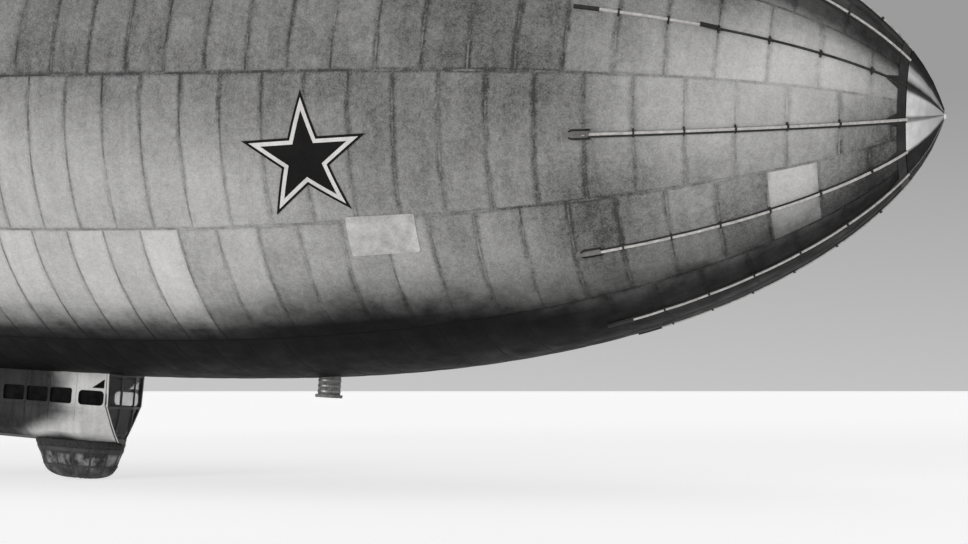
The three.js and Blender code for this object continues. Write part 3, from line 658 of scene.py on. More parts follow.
def is_cross_seam(edge):
    rings = {vert[RING_LAYER] for vert in edge.verts}
    if len(rings) > 1:
        return False
    steps = sorted(vert[STEP_LAYER] for vert in edge.verts)
    low = steps[1] if steps[1] - steps[0] > 1 else steps[0]
    shift = 0 if low // STEPS_PER_GORE % 2 else STAGGER_RINGS
    return (rings.pop() - shift) % RINGS_PER_PANEL == 0


def make_tapes(name, source, wanted, half_width, lift):
    bm = source.copy()
    edges = [edge for edge, chosen in zip(bm.edges, wanted) if chosen]
    strips = bmesh.ops.bevel(
        bm, geom=edges, offset=half_width, segments=1, profile=0.5, affect="EDGES", clamp_overlap=True,
        material=-1)["faces"]
    kept = set(strips)
    bmesh.ops.delete(bm, geom=[face for face in bm.faces if face not in kept], context="FACES")
    for vert in bm.verts:
        vert.co += vert.normal * lift
    bmesh.ops.solidify(bm, geom=bm.faces[:], thickness=-CLOTH_THICKNESS)
    return new_piece(name, bm, TAPE, slot="envelope_fabric", tidy=False)


gore_seams = [is_gore_seam(edge) for edge in bm.edges]
cross_seams = [is_cross_seam(edge) for edge in bm.edges]
print("seam edges:", sum(gore_seams), "along,", sum(cross_seams), "across")
make_tapes("seam_tapes_across", bm, cross_seams, CROSS_TAPE_HALF, CROSS_TAPE_LIFT)
make_tapes("seam_tapes_along", bm, gore_seams, GORE_TAPE_HALF, GORE_TAPE_LIFT)
bmesh.ops.holes_fill(bm, edges=[edge for edge in bm.edges if edge.is_boundary])
new_piece("envelope_skin", bm, ENVELOPE, slot="envelope_fabric", replaces=["envelope"], tidy=False)

# %% [markdown]
# The star is painted on the bow. It starts as a ten-point circle whose inner points are pulled in, two
# insets give it the thin outline and the pale border at an even width, and parallel cuts let it bend. Then
# every point is laid on the hull's own surface, a little above it.

# %% Star on the bow
STAR_STATION = 5.47
STAR_ANGLE = math.radians(-18.4)
STAR_LEAN = math.radians(2.6)
STAR_RADIUS = 0.638
STAR_WAIST = 0.385
STAR_LINE, STAR_BORDER = 0.023, 0.037
STAR_LIFT = 0.0035
CUT = 0.045


def emblem_finish(name, low, high):
    return plain_finish(name, low, high, 0.6, cloud=3.0, mottle=26.0, depth=0.0006, specular=0.06)


STAR_DARK = emblem_finish("star_dark", 0.006, 0.012)
STAR_PALE = emblem_finish("star_pale", 0.48, 0.70)


def lay_on_hull(bm, station, angle, lift):
    """Bend a flat drawing, x aft and y up the side, onto the hull."""
    for vert in bm.verts:
        here = station + vert.co.x
        turn = angle + vert.co.y / hull_radius(station)
        vert.co = hull_point(here, turn, lift + vert.co.z)


def cut_in_cells(bm, reach, pitch):
    """Parallel cuts both ways, so that a flat face can bend."""
    count = math.ceil(reach / pitch)
    for axis in (Vector((1, 0, 0)), Vector((0, 1, 0))):
        for i in range(-count, count + 1):
            bmesh.ops.bisect_plane(bm, geom=everything(bm), dist=1e-6,
                                   plane_co=axis * (i * pitch), plane_no=axis)


def make_star(name, angle, side):
    bm = bmesh.new()
    bmesh.ops.create_circle(bm, cap_ends=True, segments=10, radius=STAR_RADIUS)
    for vert in bm.verts:
        around = math.atan2(vert.co.y, vert.co.x) - math.pi / 2
        if round(around / (math.pi / 5)) % 2:
            vert.co *= STAR_WAIST
    star = bm.faces[:]
    bm.normal_update()
    line = bmesh.ops.inset_region(bm, faces=star, thickness=STAR_LINE, use_boundary=True,
                                   use_even_offset=True)["faces"]
    border = bmesh.ops.inset_region(bm, faces=star, thickness=STAR_BORDER, use_boundary=True,
                                     use_even_offset=True)["faces"]
    for face in border:
        face.material_index = 1
    print("star rings:", len(line), len(border))
    bmesh.ops.rotate(bm, verts=bm.verts, cent=(0, 0, 0), matrix=Matrix.Rotation(-STAR_LEAN * side, 3, "Z"))
    cut_in_cells(bm, STAR_RADIUS, CUT)
    bmesh.ops.triangulate(bm, faces=[face for face in bm.faces if len(face.verts) > 4])
    lay_on_hull(bm, STAR_STATION, angle, STAR_LIFT)
    bmesh.ops.solidify(bm, geom=bm.faces[:], thickness=-CLOTH_THICKNESS)
    return new_piece(name, bm, STAR_DARK, STAR_PALE, slot="envelope_fabric")


make_star("star_right", STAR_ANGLE, 1)
make_star("star_left", math.pi - STAR_ANGLE, -1)

# %% [markdown]
# Two mends are sewn on as separate cloth: a rectangle of new fabric with eased corners, bent onto the hull
# as the star is. A patch that is its own piece has a real edge.

# %% Repair patches
PATCHES = [
    {"name": "patch_bow_right", "station": 4.83, "angle": -34.8, "length": 0.66, "height": 0.40},
    {"name": "patch_side_left", "station": 9.3, "angle": 200.0, "length": 0.42, "height": 0.5},
    {"name": "patch_aft_right", "station": 15.8, "angle": 21.0, "length": 0.5, "height": 0.36},
]
PATCH = plain_finish("patch_fabric", 0.26, 0.60, 0.6, cloud=5.0, mottle=60.0, depth=0.001, specular=0.1)
PATCH_LIFT = 0.0028


def rounded_cloth(length, height, corner, segments, reach, pitch):
    """A flat rectangle of cloth with round corners, cut into cells so that it can bend."""
    bm = bmesh.new()
    bmesh.ops.create_grid(bm, x_segments=1, y_segments=1, size=0.5,
                          matrix=Matrix.Diagonal((length, height, 1, 1)))
    round_corners(bm, corner, segments)
    cut_in_cells(bm, reach, pitch)
    return bm


for patch in PATCHES:
    bm = rounded_cloth(patch["length"], patch["height"], 0.025, 4, 0.5, CUT)
    lay_on_hull(bm, patch["station"], math.radians(patch["angle"]), PATCH_LIFT)
    bmesh.ops.solidify(bm, geom=bm.faces[:], thickness=-CLOTH_THICKNESS)
    new_piece(patch["name"], bm, PATCH, slot="envelope_fabric")

# %% [markdown]
# Twelve laths stiffen the nose against the wind. Each is a wrapped wooden strip that follows the hull from
# the sheet cap to station 3.06, where a stitched pocket and a rope loop hold its end. A lath is a section
# swept along the hull's surface. The upper pair forward is served with dark tape, with a turnbuckle at its
# end.

# %% Nose laths
LATH_ANGLES = [(i + 0.5) * GORE for i in range(12)]
LATH_START, LATH_END, LATH_SHOWN = 0.297, 3.06, 2.89
LOWEST_SHOWN = 2.82
LATH_WIDTH, LATH_HEIGHT = 0.026, 0.028
# Painted shadow: a wider dark strip under a lath, standing for its shadow on the cloth.
LATH_SHADOW_WIDTH, LATH_SHADOW_HEIGHT = 0.047, 0.013
SHADOW_SHIFT = 0.009
SERVED_TO = 1.87
RING_END, RING_HEIGHT = 0.362, 0.017
LATH_PITCH = 0.08


def lath_finish():
    finish = Finish("batten_wrap", grey(0.5), 0.65)
    grain = finish.noise(1.0, 4.0, 0.6, finish.stretched((3.0, 40.0, 40.0)))
    wraps = finish.noise(26.0, 2.0)
    both = finish.total((grain, 0.6), (wraps, 0.4))
    finish.colour(finish.mix(finish.span(both, 0.3, 0.7), rgba(0.28, 0.03), rgba(0.60, 0.03)))
    finish.relief(both, 0.002, 0.7)
    return finish.material


LATH = lath_finish()
DARK_TAPE = plain_finish("dark_tape", 0.014, 0.045, 0.7, cloud=4.0, mottle=50.0, depth=0.001, specular=0.15)
ROPE = plain_finish("rope", 0.012, 0.035, 0.85, cloud=8.0, mottle=90.0, depth=0.0015, specular=0.15)
POCKET = plain_finish("pocket_cloth", 0.08, 0.24, 0.65, cloud=5.0, mottle=60.0, depth=0.001, specular=0.1)


def stations_between(start, end, pitch):
    count = max(1, math.ceil((end - start) / pitch))
    return [start + (end - start) * i / count for i in range(count + 1)]


def sweep_on_hull(bm, section, angle, start, end, across=0.0):
    sweep(bm, section, [hull_place(station, angle + across / hull_radius(station))
                        for station in stations_between(start, end, LATH_PITCH)])


def is_lowest_pair(angle):
    return math.sin(angle) < -0.9


def is_upper_pair(angle):
    return round(math.degrees(angle)) in (15, 165)


def nose_ring(bm):
    """The dark ring behind the cap."""
    stations = stations_between(LATH_START, RING_END, 0.012)
    profile = [(TIP_X - s, hull_radius(s) + RING_HEIGHT) for s in reversed(stations)]
    profile += [(TIP_X - s, hull_radius(s) - 0.01) for s in stations]
    profile.append(profile[0])
    turned(bm, profile, (0, 0, 0), "X", 144)


bm = bmesh.new()
for angle in LATH_ANGLES:
    start = SERVED_TO if is_upper_pair(angle) else LATH_START
    sweep_on_hull(bm, rounded_section(LATH_WIDTH, LATH_HEIGHT), angle, start, LATH_END)
new_piece("nose_battens_wrapped", bm, LATH, slot="batten_wood", replaces=["nose_battens"])

bm = bmesh.new()
nose_ring(bm)
# The upper pair is served forward; under every other lath a wider dark strip, shifted to one side on some, is a
# painted shadow along the lath.
for angle in LATH_ANGLES:
    if is_upper_pair(angle):
        sweep_on_hull(bm, rounded_section(0.018, LATH_HEIGHT * 0.7), angle, LATH_START, SERVED_TO)
    else:
        sweep_on_hull(bm, rounded_section(LATH_SHADOW_WIDTH, LATH_SHADOW_HEIGHT), angle, LATH_START, LATH_SHOWN,
                      across=-SHADOW_SHIFT if math.cos(angle) > 0.8 or math.sin(angle) > 0 else 0.0)
new_piece("nose_ring_served_and_shadow_strips", bm, DARK_TAPE, slot="dark_steel")

# %% [markdown]
# Small dark fittings give the laths their rhythm: a lashing over each cross seam, a gusset where a lath
# meets the ring, and the pocket with its rope loop at the rear end.

# %% Lashings, gussets and pockets
STRAP_HALF, KNOT = 0.009, 0.012
POCKET_SIZE, POCKET_RISE = (0.22, 0.085), 0.032


def lashings(bm, angle):
    gore = math.floor(angle / GORE)
    station = first_seam(gore)
    while station < LATH_END - 0.2:
        if station > 0.5:
            strap = rounded_section(LATH_WIDTH + 0.014, LATH_HEIGHT + 0.006, 0.35)
            sweep_on_hull(bm, strap, angle, station - STRAP_HALF, station + STRAP_HALF)
            for side in (-1, 1):
                turn = side * (LATH_WIDTH / 2 + 0.018) / hull_radius(station)
                knot = hull_point(station, angle + turn, 0.006)
                bmesh.ops.create_icosphere(bm, subdivisions=1, radius=KNOT, matrix=Matrix.Translation(knot))
        station += PANEL


def gusset(bm, angle):
    """A flat triangle of dark cloth, wide at the ring."""
    wide, narrow = 0.075, LATH_WIDTH / 2 + 0.004
    corners = [(RING_END - 0.01, narrow), (RING_END - 0.01, wide), (RING_END + 0.10, narrow)]
    for side in (-1, 1):
        low = [bm.verts.new(hull_point(station, angle + side * across / hull_radius(station), 0.001))
               for station, across in corners]
        verts, _ = extruded(bm, [bm.faces.new(low)])
        bmesh.ops.translate(bm, verts=verts, vec=hull_normal(RING_END, angle) * 0.006)


def pocket(bm, angle):
    """The stitched cloth pocket over a lath's end."""
    flat = rounded_cloth(*POCKET_SIZE, 0.04, 5, POCKET_SIZE[0] / 2, 0.014)
    for vert in flat.verts:
        vert.co.z = POCKET_RISE * math.exp(-(vert.co.y / 0.018) ** 2)
    lay_on_hull(flat, LATH_END - 0.06, angle, 0.003)
    bmesh.ops.solidify(flat, geom=flat.faces[:], thickness=-0.003)
    add_mesh(bm, flat)


def rope_loop(bm, angle, start, end, half_width, radius):
    """A rope that runs aft along one side, around the end and back."""
    bend = [Vector((math.sin(t * math.pi / 8), math.cos(t * math.pi / 8))) * half_width for t in range(9)]
    points = [(start, half_width), *((end - half_width + aft, across) for aft, across in bend),
              (start, -half_width)]
    rope_through(bm, [hull_point(station, angle + across / hull_radius(station), radius * 0.8)
                      for station, across in points], radius)


def rope_through(bm, points, radius, sides=8):
    """A round cord swept through points, turned to follow them."""
    sweep(bm, round_section(radius, sides),
          [Matrix.Translation(point) @ run.to_track_quat("X", "Z").to_matrix().to_4x4()
           for point, run in zip(points, directions(points))])


bm, pockets = bmesh.new(), bmesh.new()
for angle in LATH_ANGLES:
    lashings(bm, angle)
    gusset(bm, angle)
    if is_upper_pair(angle):
        sweep_on_hull(bm, rounded_section(0.032, 0.034), angle, LATH_SHOWN - 0.03, LATH_END + 0.02)
    elif is_lowest_pair(angle):
        sweep_on_hull(bm, rounded_section(0.034, 0.032), angle, LOWEST_SHOWN, LATH_END + 0.01)
    else:
        pocket(pockets, angle)
new_piece("batten_lashings", bm, DARK_TAPE, slot="dark_steel")
new_piece("batten_pockets", pockets, POCKET, slot="envelope_fabric")

bm = bmesh.new()
for angle in LATH_ANGLES:
    if not (is_upper_pair(angle) or is_lowest_pair(angle)):
        rope_loop(bm, angle, LATH_SHOWN - 0.01, LATH_END + 0.01, 0.040, 0.0085)
    if is_upper_pair(angle):
        rod(bm, hull_point(SERVED_TO, angle, 0.022), hull_point(SERVED_TO + 0.14, angle, 0.03), 0.022, 12)
new_piece("batten_ropes", bm, ROPE, slot="dark_steel")

# %% [markdown]
# The nose cap is a cone of twelve sheet facets. The imported solid already has the folds, so it stays and
# gets a finish with painted light and shade on its facets; dark folded seams along the edges are added.

# %% Nose cap finish and folds
def metal_finish(name, low, high, roughness, scratch=40.0, depth=0.0006):
    finish = Finish(name, grey(high), roughness, 1.0)
    clouds = finish.noise(3.0, 4.0)
    scratches = finish.noise(1.0, 3.0, 0.6, finish.stretched((scratch, scratch * 0.2, scratch)))
    both = finish.total((clouds, 0.6), (scratches, 0.4))
    share = finish.span(both, 0.32, 0.68)
    finish.colour(finish.mix(share, rgba(low, 0.01), rgba(high, 0.01)))
    finish.roughness(finish.span(both, 0.3, 0.7, roughness + 0.12, roughness - 0.06))
    finish.relief(scratches, depth, 0.6)
    return finish.material


def cap_finish():
    """Painted light and shade by height around the axis: pale lit facets, a grey one, a highlight, shade above
    and below.
    """
    finish = Finish("cap_sheet_light_and_shade", grey(0.8), 0.6, specular=0.02)
    x, y, z = finish.parts()
    squares = finish.plus(finish.times(y, y), finish.times(z, z))
    height = finish.math("DIVIDE", z, finish.math("MAXIMUM", finish.math("SQRT", squares), 0.001))
    clouds = finish.span(finish.noise(9.0, 4.0), 0.3, 0.7)
    pale = finish.mix(clouds, rgba(0.58), rgba(0.80))
    middle = finish.mix(clouds, rgba(0.16), rgba(0.34))
    dark = finish.mix(clouds, rgba(0.012), rgba(0.030))
    # Painted shade: the pale facets darken towards the tip.
    lit_toward_base = finish.span(x, TIP_X - 0.24, TIP_X - 0.03, 1.0, 0.25)
    pale = finish.mix(lit_toward_base, rgba(0.36), pale)
    colour = finish.mix(finish.span(height, *CAP_PALE_TO), pale, middle)
    # Painted highlight: a pale streak on the grey facet.
    highlight = finish.span(finish.away(height, CAP_HIGHLIGHT_AT), 0.02, 0.15, 1.0, 0.0)
    lit = finish.mix(finish.times(highlight, lit_toward_base), colour, rgba(0.62))
    colour = finish.mix(finish.span(height, *CAP_GREY_TO), lit, dark)
    colour = finish.mix(finish.span(height, *CAP_PALE_FROM), dark, colour)
    # Painted shade along three folds.
    for fold, reach, depth in CAP_FOLD_SHADE_LINES:
        away = finish.away(height, fold)
        colour = finish.mix(finish.span(away, reach * 0.3, reach, depth, 0.0, smooth=True), colour, dark)
    finish.colour(colour)
    finish.relief(clouds, 0.002, 0.4)
    return finish.material


# Painted light and shade on the cap, by height around the axis: where the shade below gives way to the pale lit
# facets, where these turn to the grey facet and where the shade above begins; then the folds with painted shade
# (height, reach, depth) and where the painted highlight lies.
CAP_PALE_FROM, CAP_PALE_TO, CAP_GREY_TO = (-0.73, -0.69), (0.25, 0.27), (0.69, 0.73)
CAP_FOLD_SHADE_LINES = [(0.259, 0.13, 0.95), (-0.259, 0.07, 0.6), (0.70, 0.10, 0.9)]
CAP_HIGHLIGHT_AT = 0.48
CAP_STATIONS = [0.29, 0.19, 0.10, 0.04]
CAP_SHEET = 0.006
CAP_END, CAP_END_RADIUS = -0.008, 0.055
FOLD_RADIUS = 0.0055


def ridge(angle):
    """The points of a fold between two facets of the cap, from its base to its tip."""
    out = Vector((0, -math.cos(angle), math.sin(angle)))
    points = [Vector((TIP_X - s, 0, 0)) + out * ((hull_radius(s) + CAP_SHEET) / math.cos(GORE / 2))
              for s in CAP_STATIONS]
    return points + [Vector((TIP_X - CAP_END, 0, 0)) + out * CAP_END_RADIUS]


CAP_METAL = metal_finish("bare_sheet", 0.50, 0.74, 0.38)
CAP_LIGHT_AND_SHADE = cap_finish()
STEEL = metal_finish("dark_steel", 0.16, 0.30, 0.42)
BRIGHT = metal_finish("bright_steel", 0.7, 0.9, 0.3)
paint_nodes(CAP_METAL, "tail_cap", "gas_valve_top", "gas_valve_belly")
paint_nodes(CAP_LIGHT_AND_SHADE, "nose_cap")
paint_nodes(BRIGHT, "nose_spindle")

bm = bmesh.new()
for angle in LATH_ANGLES:
    known = set(bm.faces)
    rope_through(bm, ridge(angle), FOLD_RADIUS, 6)
    for face in set(bm.faces) - known:
        face.material_index = 0 if math.sin(angle) > 0.2 else 1
new_piece("nose_cap_folds", bm, DARK_TAPE, STEEL, slot="sheet_metal")
print("metals:", CAP_METAL.name, STEEL.name, BRIGHT.name)

# %% [markdown]
# The rest of the carried-over solids get finishes of their own: silver paint on the cabin, with painted shade
# at its foot and on the inner faces of its walls and nearly black aft, near-black side glass as painted shade
# for the dark cabin behind it, dusty clear glass, worn leather, bare plywood, blackened iron and varnished
# wood.

# %% Cabin, glass, wood and iron finishes
CABIN_FRONT_X, CABIN_SIDE = 2.52, 0.35
BOW_START_Z, KEEL_Z, BOW_NARROWING, BOW_LENGTH = -3.33, -3.82, 0.84, 0.35
# Painted shade on the inner faces of the cabin walls: its tone, half width, lowest height and aft end.
INSIDE_SHADE_TONE, INSIDE_SHADE_Y, INSIDE_SHADE_LOW_Z, INSIDE_SHADE_BACK_X = 0.012, 0.338, -3.60, -0.36
# The first three give where the paint turns nearly black aft of a leaning line; the last pair gives the heights
# of the painted shade at the cabin's foot.
DARKER_AFT_X, DARKER_AFT_WAIST_Z, DARKER_AFT_LEANS, FOOT_SHADE_Z = (2.64, 2.02), -3.45, (0.44, -2.35), (-3.63, -3.74)


def cabin_inside(finish, x, y, z):
    """1 on the walls' inner faces, which get painted shade, and 0 outside."""
    drawn = finish.span(z, BOW_START_Z, KEEL_Z)
    near = finish.span(x, CABIN_FRONT_X - BOW_LENGTH, CABIN_FRONT_X)
    half = finish.span(finish.times(drawn, near), 0.0, 1.0, INSIDE_SHADE_Y, INSIDE_SHADE_Y - CABIN_SIDE * BOW_NARROWING)
    within = finish.math("LESS_THAN", finish.math("ABSOLUTE", y), half)
    above = finish.math("GREATER_THAN", z, INSIDE_SHADE_LOW_Z)
    ahead = finish.math("GREATER_THAN", x, INSIDE_SHADE_BACK_X)
    return finish.times(within, finish.times(above, ahead))


def cabin_finish():
    finish = Finish("cabin_paint", grey(0.5), 0.45, specular=0.12)
    clouds = finish.noise(2.2, 4.0)
    streaks = finish.noise(1.0, 4.0, 0.6, finish.stretched((14.0, 14.0, 1.6)))
    speckle = finish.noise(40.0, 3.0, 0.7)
    share = finish.total((clouds, 0.4), (streaks, 0.35), (speckle, 0.25))
    paint = finish.mix(finish.span(share, 0.32, 0.68), rgba(0.38, 0.01), rgba(0.64, 0.01))
    x, y, z = finish.parts()
    # Painted shade: the cabin's foot darkens towards the keel, starting lower near the bow.
    raised = finish.plus(z, finish.span(x, 2.0, 2.5, 0.0, 0.10))
    low = finish.span(finish.plus(raised, finish.times(clouds, 0.10)), *FOOT_SHADE_Z, smooth=True)
    paint = finish.mix(finish.times(low, 0.95), paint, rgba(0.02))
    # Aft of a line that leans with height, the paint turns nearly black.
    height = finish.plus(z, -DARKER_AFT_WAIST_Z)
    leaning = finish.math("MAXIMUM", *(finish.times(height, lean) for lean in DARKER_AFT_LEANS))
    darker_aft_line = finish.plus(finish.plus(x, leaning), finish.times(clouds, 0.5))
    aft = finish.span(darker_aft_line, *DARKER_AFT_X, smooth=True)
    darker_aft_paint = finish.mix(finish.span(share, 0.36, 0.64), rgba(0.004), rgba(0.036))
    # Painted shade: the walls' inner faces are nearly black.
    finish.colour(finish.mix(cabin_inside(finish, x, y, z), finish.mix(aft, paint, darker_aft_paint), rgba(INSIDE_SHADE_TONE)))
    finish.roughness(finish.span(share, 0.3, 0.7, 0.55, 0.40))
    finish.relief(clouds, 0.003, 0.4)
    return finish.material


def bag_finish():
    """Rubbered canvas: dark, with pale blotches on its middle band; the hem and the foot stay dark as painted
    shade.
    """
    finish = Finish("bumper_canvas", grey(0.05), 0.7, specular=0.2)
    blotches, fine = finish.noise(7.0, 3.0), finish.noise(45.0, 3.0, 0.7)
    _, _, z = finish.parts()
    # Painted shade: no pale blotches at the hem under the keel, and fewer towards the foot.
    lit_band = finish.times(finish.span(z, -3.90, -3.96, smooth=True),
                         finish.span(z, -4.12, -4.04, 0.25, 1.0, smooth=True))
    pale_blotches = finish.times(finish.span(blotches, 0.44, 0.66), lit_band)
    canvas = finish.mix(finish.span(fine, 0.3, 0.7), rgba(0.010), rgba(0.045))
    finish.colour(finish.mix(pale_blotches, canvas, rgba(0.26)))
    finish.roughness(finish.span(fine, 0.3, 0.7, 0.6, 0.8))
    finish.relief(fine, 0.003)
    return finish.material


PANE_INDEX = 1.12


def glass_finish(name, low, high, clear, gloss):
    """Window glass: how much light passes is the same all over, and dust only changes its tone and gloss.

    The low index keeps a pane seen at a slant from mirroring the pale floor.
    """
    finish = Finish(name, grey(low), 0.12, specular=gloss)
    dust = finish.noise(9.0, 4.0)
    finish.colour(finish.mix(finish.span(dust, 0.35, 0.75), rgba(low), rgba(high)))
    finish.roughness(finish.span(dust, 0.3, 0.7, 0.03, 0.16))
    finish.shader.inputs["Transmission Weight"].default_value = clear
    finish.shader.inputs["IOR"].default_value = PANE_INDEX
    return finish.material


CABIN = cabin_finish()
# Painted shade: the side and door windows are opaque and near black, standing for the dark cabin behind them.
SIDE_GLASS_SHADE = glass_finish("side_glass_painted_shade", 0.006, 0.014, 0.0, 0.0)
CLEAR_GLASS = glass_finish("clear_glass", 0.64, 0.80, 0.96, 0.02)
FRAME_PAINT = plain_finish("frame_paint", 0.03, 0.08, 0.5, 0.2, cloud=6.0, mottle=50.0, depth=0.0006)
STRUT_PAINT = plain_finish("strut_paint", 0.09, 0.20, 0.5, 0.1, cloud=5.0, mottle=50.0, depth=0.0005)
PALE_TRIM = plain_finish("pale_trim", 0.50, 0.72, 0.4, 0.2, cloud=6.0, mottle=60.0, depth=0.0004)
RUBBER = bag_finish()
STRAP = plain_finish("strap_webbing", 0.012, 0.06, 0.7, cloud=6.0, mottle=60.0, depth=0.001)
IRON = plain_finish("engine_iron", 0.03, 0.07, 0.5, 0.6, cloud=9.0, mottle=60.0, depth=0.001)
LEATHER = plain_finish("seat_leather", 0.05, 0.10, 0.55, cloud=5.0, mottle=60.0, depth=0.002, warmth=0.08)
PLYWOOD = plain_finish("floor_plywood", 0.16, 0.30, 0.7, cloud=2.0, mottle=18.0, depth=0.001, warmth=0.10)
paint_nodes(CABIN, "cabin_wall_right", "cabin_wall_left", "cabin_tub", "cabin_tail", "cabin_roof",
            "cabin_door", "nacelle_right", "nacelle_left")
paint_nodes(SIDE_GLASS_SHADE, "glass_right", "glass_door")
paint_nodes(CLEAR_GLASS, "glass_left", "glass_windscreen")
paint_nodes(FRAME_PAINT, "windscreen_frame")
paint_nodes(IRON, "instrument_board")
paint_nodes(STRUT_PAINT, "outrigger_right", "outrigger_left")
paint_nodes(LEATHER, "seat_right", "seat_left")
paint_nodes(PLYWOOD, "cabin_floor")
paint_nodes(RUBBER, "bumper")
paint_nodes(ENVELOPE, "filling_neck")

# %% [markdown]
# Each cabin window sits in a dark rubber gasket that wraps the edge of the opening. A gasket starts as one
# flat face with bevelled corners, an inset makes it a ring, its middle is deleted and an extrusion gives it
# depth. It covers the wall's cut edge, so the window is dark to its rim from any side.

# %% Window gaskets
WINDOW_LOW, WINDOW_HIGH, WINDOW_CORNER = -3.354, -3.172, 0.030


def opening(start, end, low=WINDOW_LOW, high=WINDOW_HIGH, radius=WINDOW_CORNER):
    """The corners of a window, measured aft from the cabin's front, and their radius."""
    return [(start, low), (end, low), (end, high), (start, high)], radius


SIDE_WINDOWS = [opening(0.040, 0.392, -3.356, -3.186, 0.052), opening(0.488, 0.797), opening(0.825, 1.135),
                opening(1.163, 1.472)]
AFT_WINDOW, DOOR_WINDOW = opening(1.717, 2.023), opening(1.735, 2.005)
QUARTER_LIGHT = ([(0.044, -3.155), (0.212, -3.155), (0.044, -3.049)], 0.012)
GASKET_OUT, GASKET_IN = 0.006, 0.005
GASKET_PROUD, GASKET_DEPTH = 0.003, 0.017


def gasket(bm, corners, radius, side):
    """A ring around an opening in the wall at y = side * CABIN_SIDE."""
    flat = bmesh.new()
    face = flat.faces.new([flat.verts.new((CABIN_FRONT_X - aft, 0, z)) for aft, z in corners])
    round_corners(flat, radius, 5)
    flat.normal_update()
    bmesh.ops.inset_region(
        flat, faces=flat.faces[:], thickness=GASKET_OUT, use_outset=True, use_boundary=True)
    middle = max(flat.faces, key=lambda face: face.calc_area())
    bmesh.ops.inset_region(flat, faces=[middle], thickness=GASKET_IN, use_boundary=True)
    bmesh.ops.delete(flat, geom=[middle], context="FACES_ONLY")
    merge(flat)
    inner, _ = extruded(flat, flat.faces[:])
    bmesh.ops.translate(flat, verts=flat.verts, vec=(0, side * (CABIN_SIDE + GASKET_PROUD), 0))
    bmesh.ops.translate(flat, verts=inner, vec=(0, -side * (GASKET_PROUD + GASKET_DEPTH), 0))
    add_mesh(bm, flat)


GASKET = plain_finish("gasket_rubber", 0.008, 0.02, 0.6, cloud=8.0, mottle=60.0, depth=0.0005, specular=0.2)
bm = bmesh.new()
for side, windows in ((-1, SIDE_WINDOWS), (1, SIDE_WINDOWS + [AFT_WINDOW])):
    for corners, radius in [*windows, QUARTER_LIGHT]:
        gasket(bm, corners, radius, side)
new_piece("window_gaskets", bm, GASKET, slot="bumper_rubber")
bm = bmesh.new()
gasket(bm, *DOOR_WINDOW, -1)
new_piece("door_gasket", bm, GASKET, body="door", slot="bumper_rubber")

# %% [markdown]
# The cabin is sheet on a frame, so it shows cover strips over the panel joints, a belt rail below the
# windows, a bright corner post beside the windscreen and rows of rivets. The corner post follows the bow,
# where the sides draw in towards the keel, so its path is worked out from the same narrowing as the cabin.

# %% Cabin trim
BELT_Z = -3.405
KNEE_Z, BILGE_Z, KEEL_EDGE_Z = -3.56, -3.69, -3.775
JOINTS = [0.435, 0.811, 1.149, 1.60, 2.14, 2.80]
DOOR_SPAN = (1.66, 2.08)
STRIP_WIDTH, STRIP_HEIGHT = 0.016, 0.0035
RIVET_PITCH = 0.03


def cabin_half(z):
    """Half width of the cabin's parallel part at a height."""
    return by_station([(-KNEE_Z, CABIN_SIDE), (-BILGE_Z, 0.325), (-KEEL_EDGE_Z, 0.24), (-KEEL_Z, 0.0)], -z)


def bow_half(z, aft=0.0):
    """Half width at a height near the front, where the sides draw in towards the keel."""
    drawn = min(1.0, max(0.0, (BOW_START_Z - z) / (BOW_START_Z - KEEL_Z)))
    return cabin_half(z) * (1 - BOW_NARROWING * drawn * max(0.0, 1 - aft / BOW_LENGTH))


def strip_through(bm, points, out, width=STRIP_WIDTH, height=STRIP_HEIGHT):
    """A flat strip along points, standing out in one direction."""
    points, out = [Vector(point) for point in points], Vector(out)
    sweep(bm, rounded_section(width, height), [axes_at(point, run, out.cross(run).normalized())
                                               for point, run in zip(points, directions(points))])


def rivets(bm, start, end, out, pitch=RIVET_PITCH, radius=0.0032):
    start, end = Vector(start), Vector(end)
    count = max(1, round((end - start).length / pitch))
    for i in range(count + 1):
        at = start.lerp(end, i / count)
        rod(bm, at - Vector(out) * 0.002, at + Vector(out) * 0.0018, radius, 8, radius * 0.55)


def hull_bottom(x, y):
    """Height of the envelope's underside at a place."""
    return -math.sqrt(max(0.01, hull_radius(TIP_X - x) ** 2 - y * y))


def along_side(side, first, last, z, proud=0.0005):
    """Points along a cabin side at one height, bent where the bow starts."""
    afts = [first] + [BOW_LENGTH] * (first < BOW_LENGTH < last) + [last]
    return [Vector((CABIN_FRONT_X - aft, side * (bow_half(z, aft) + proud), z)) for aft in afts]


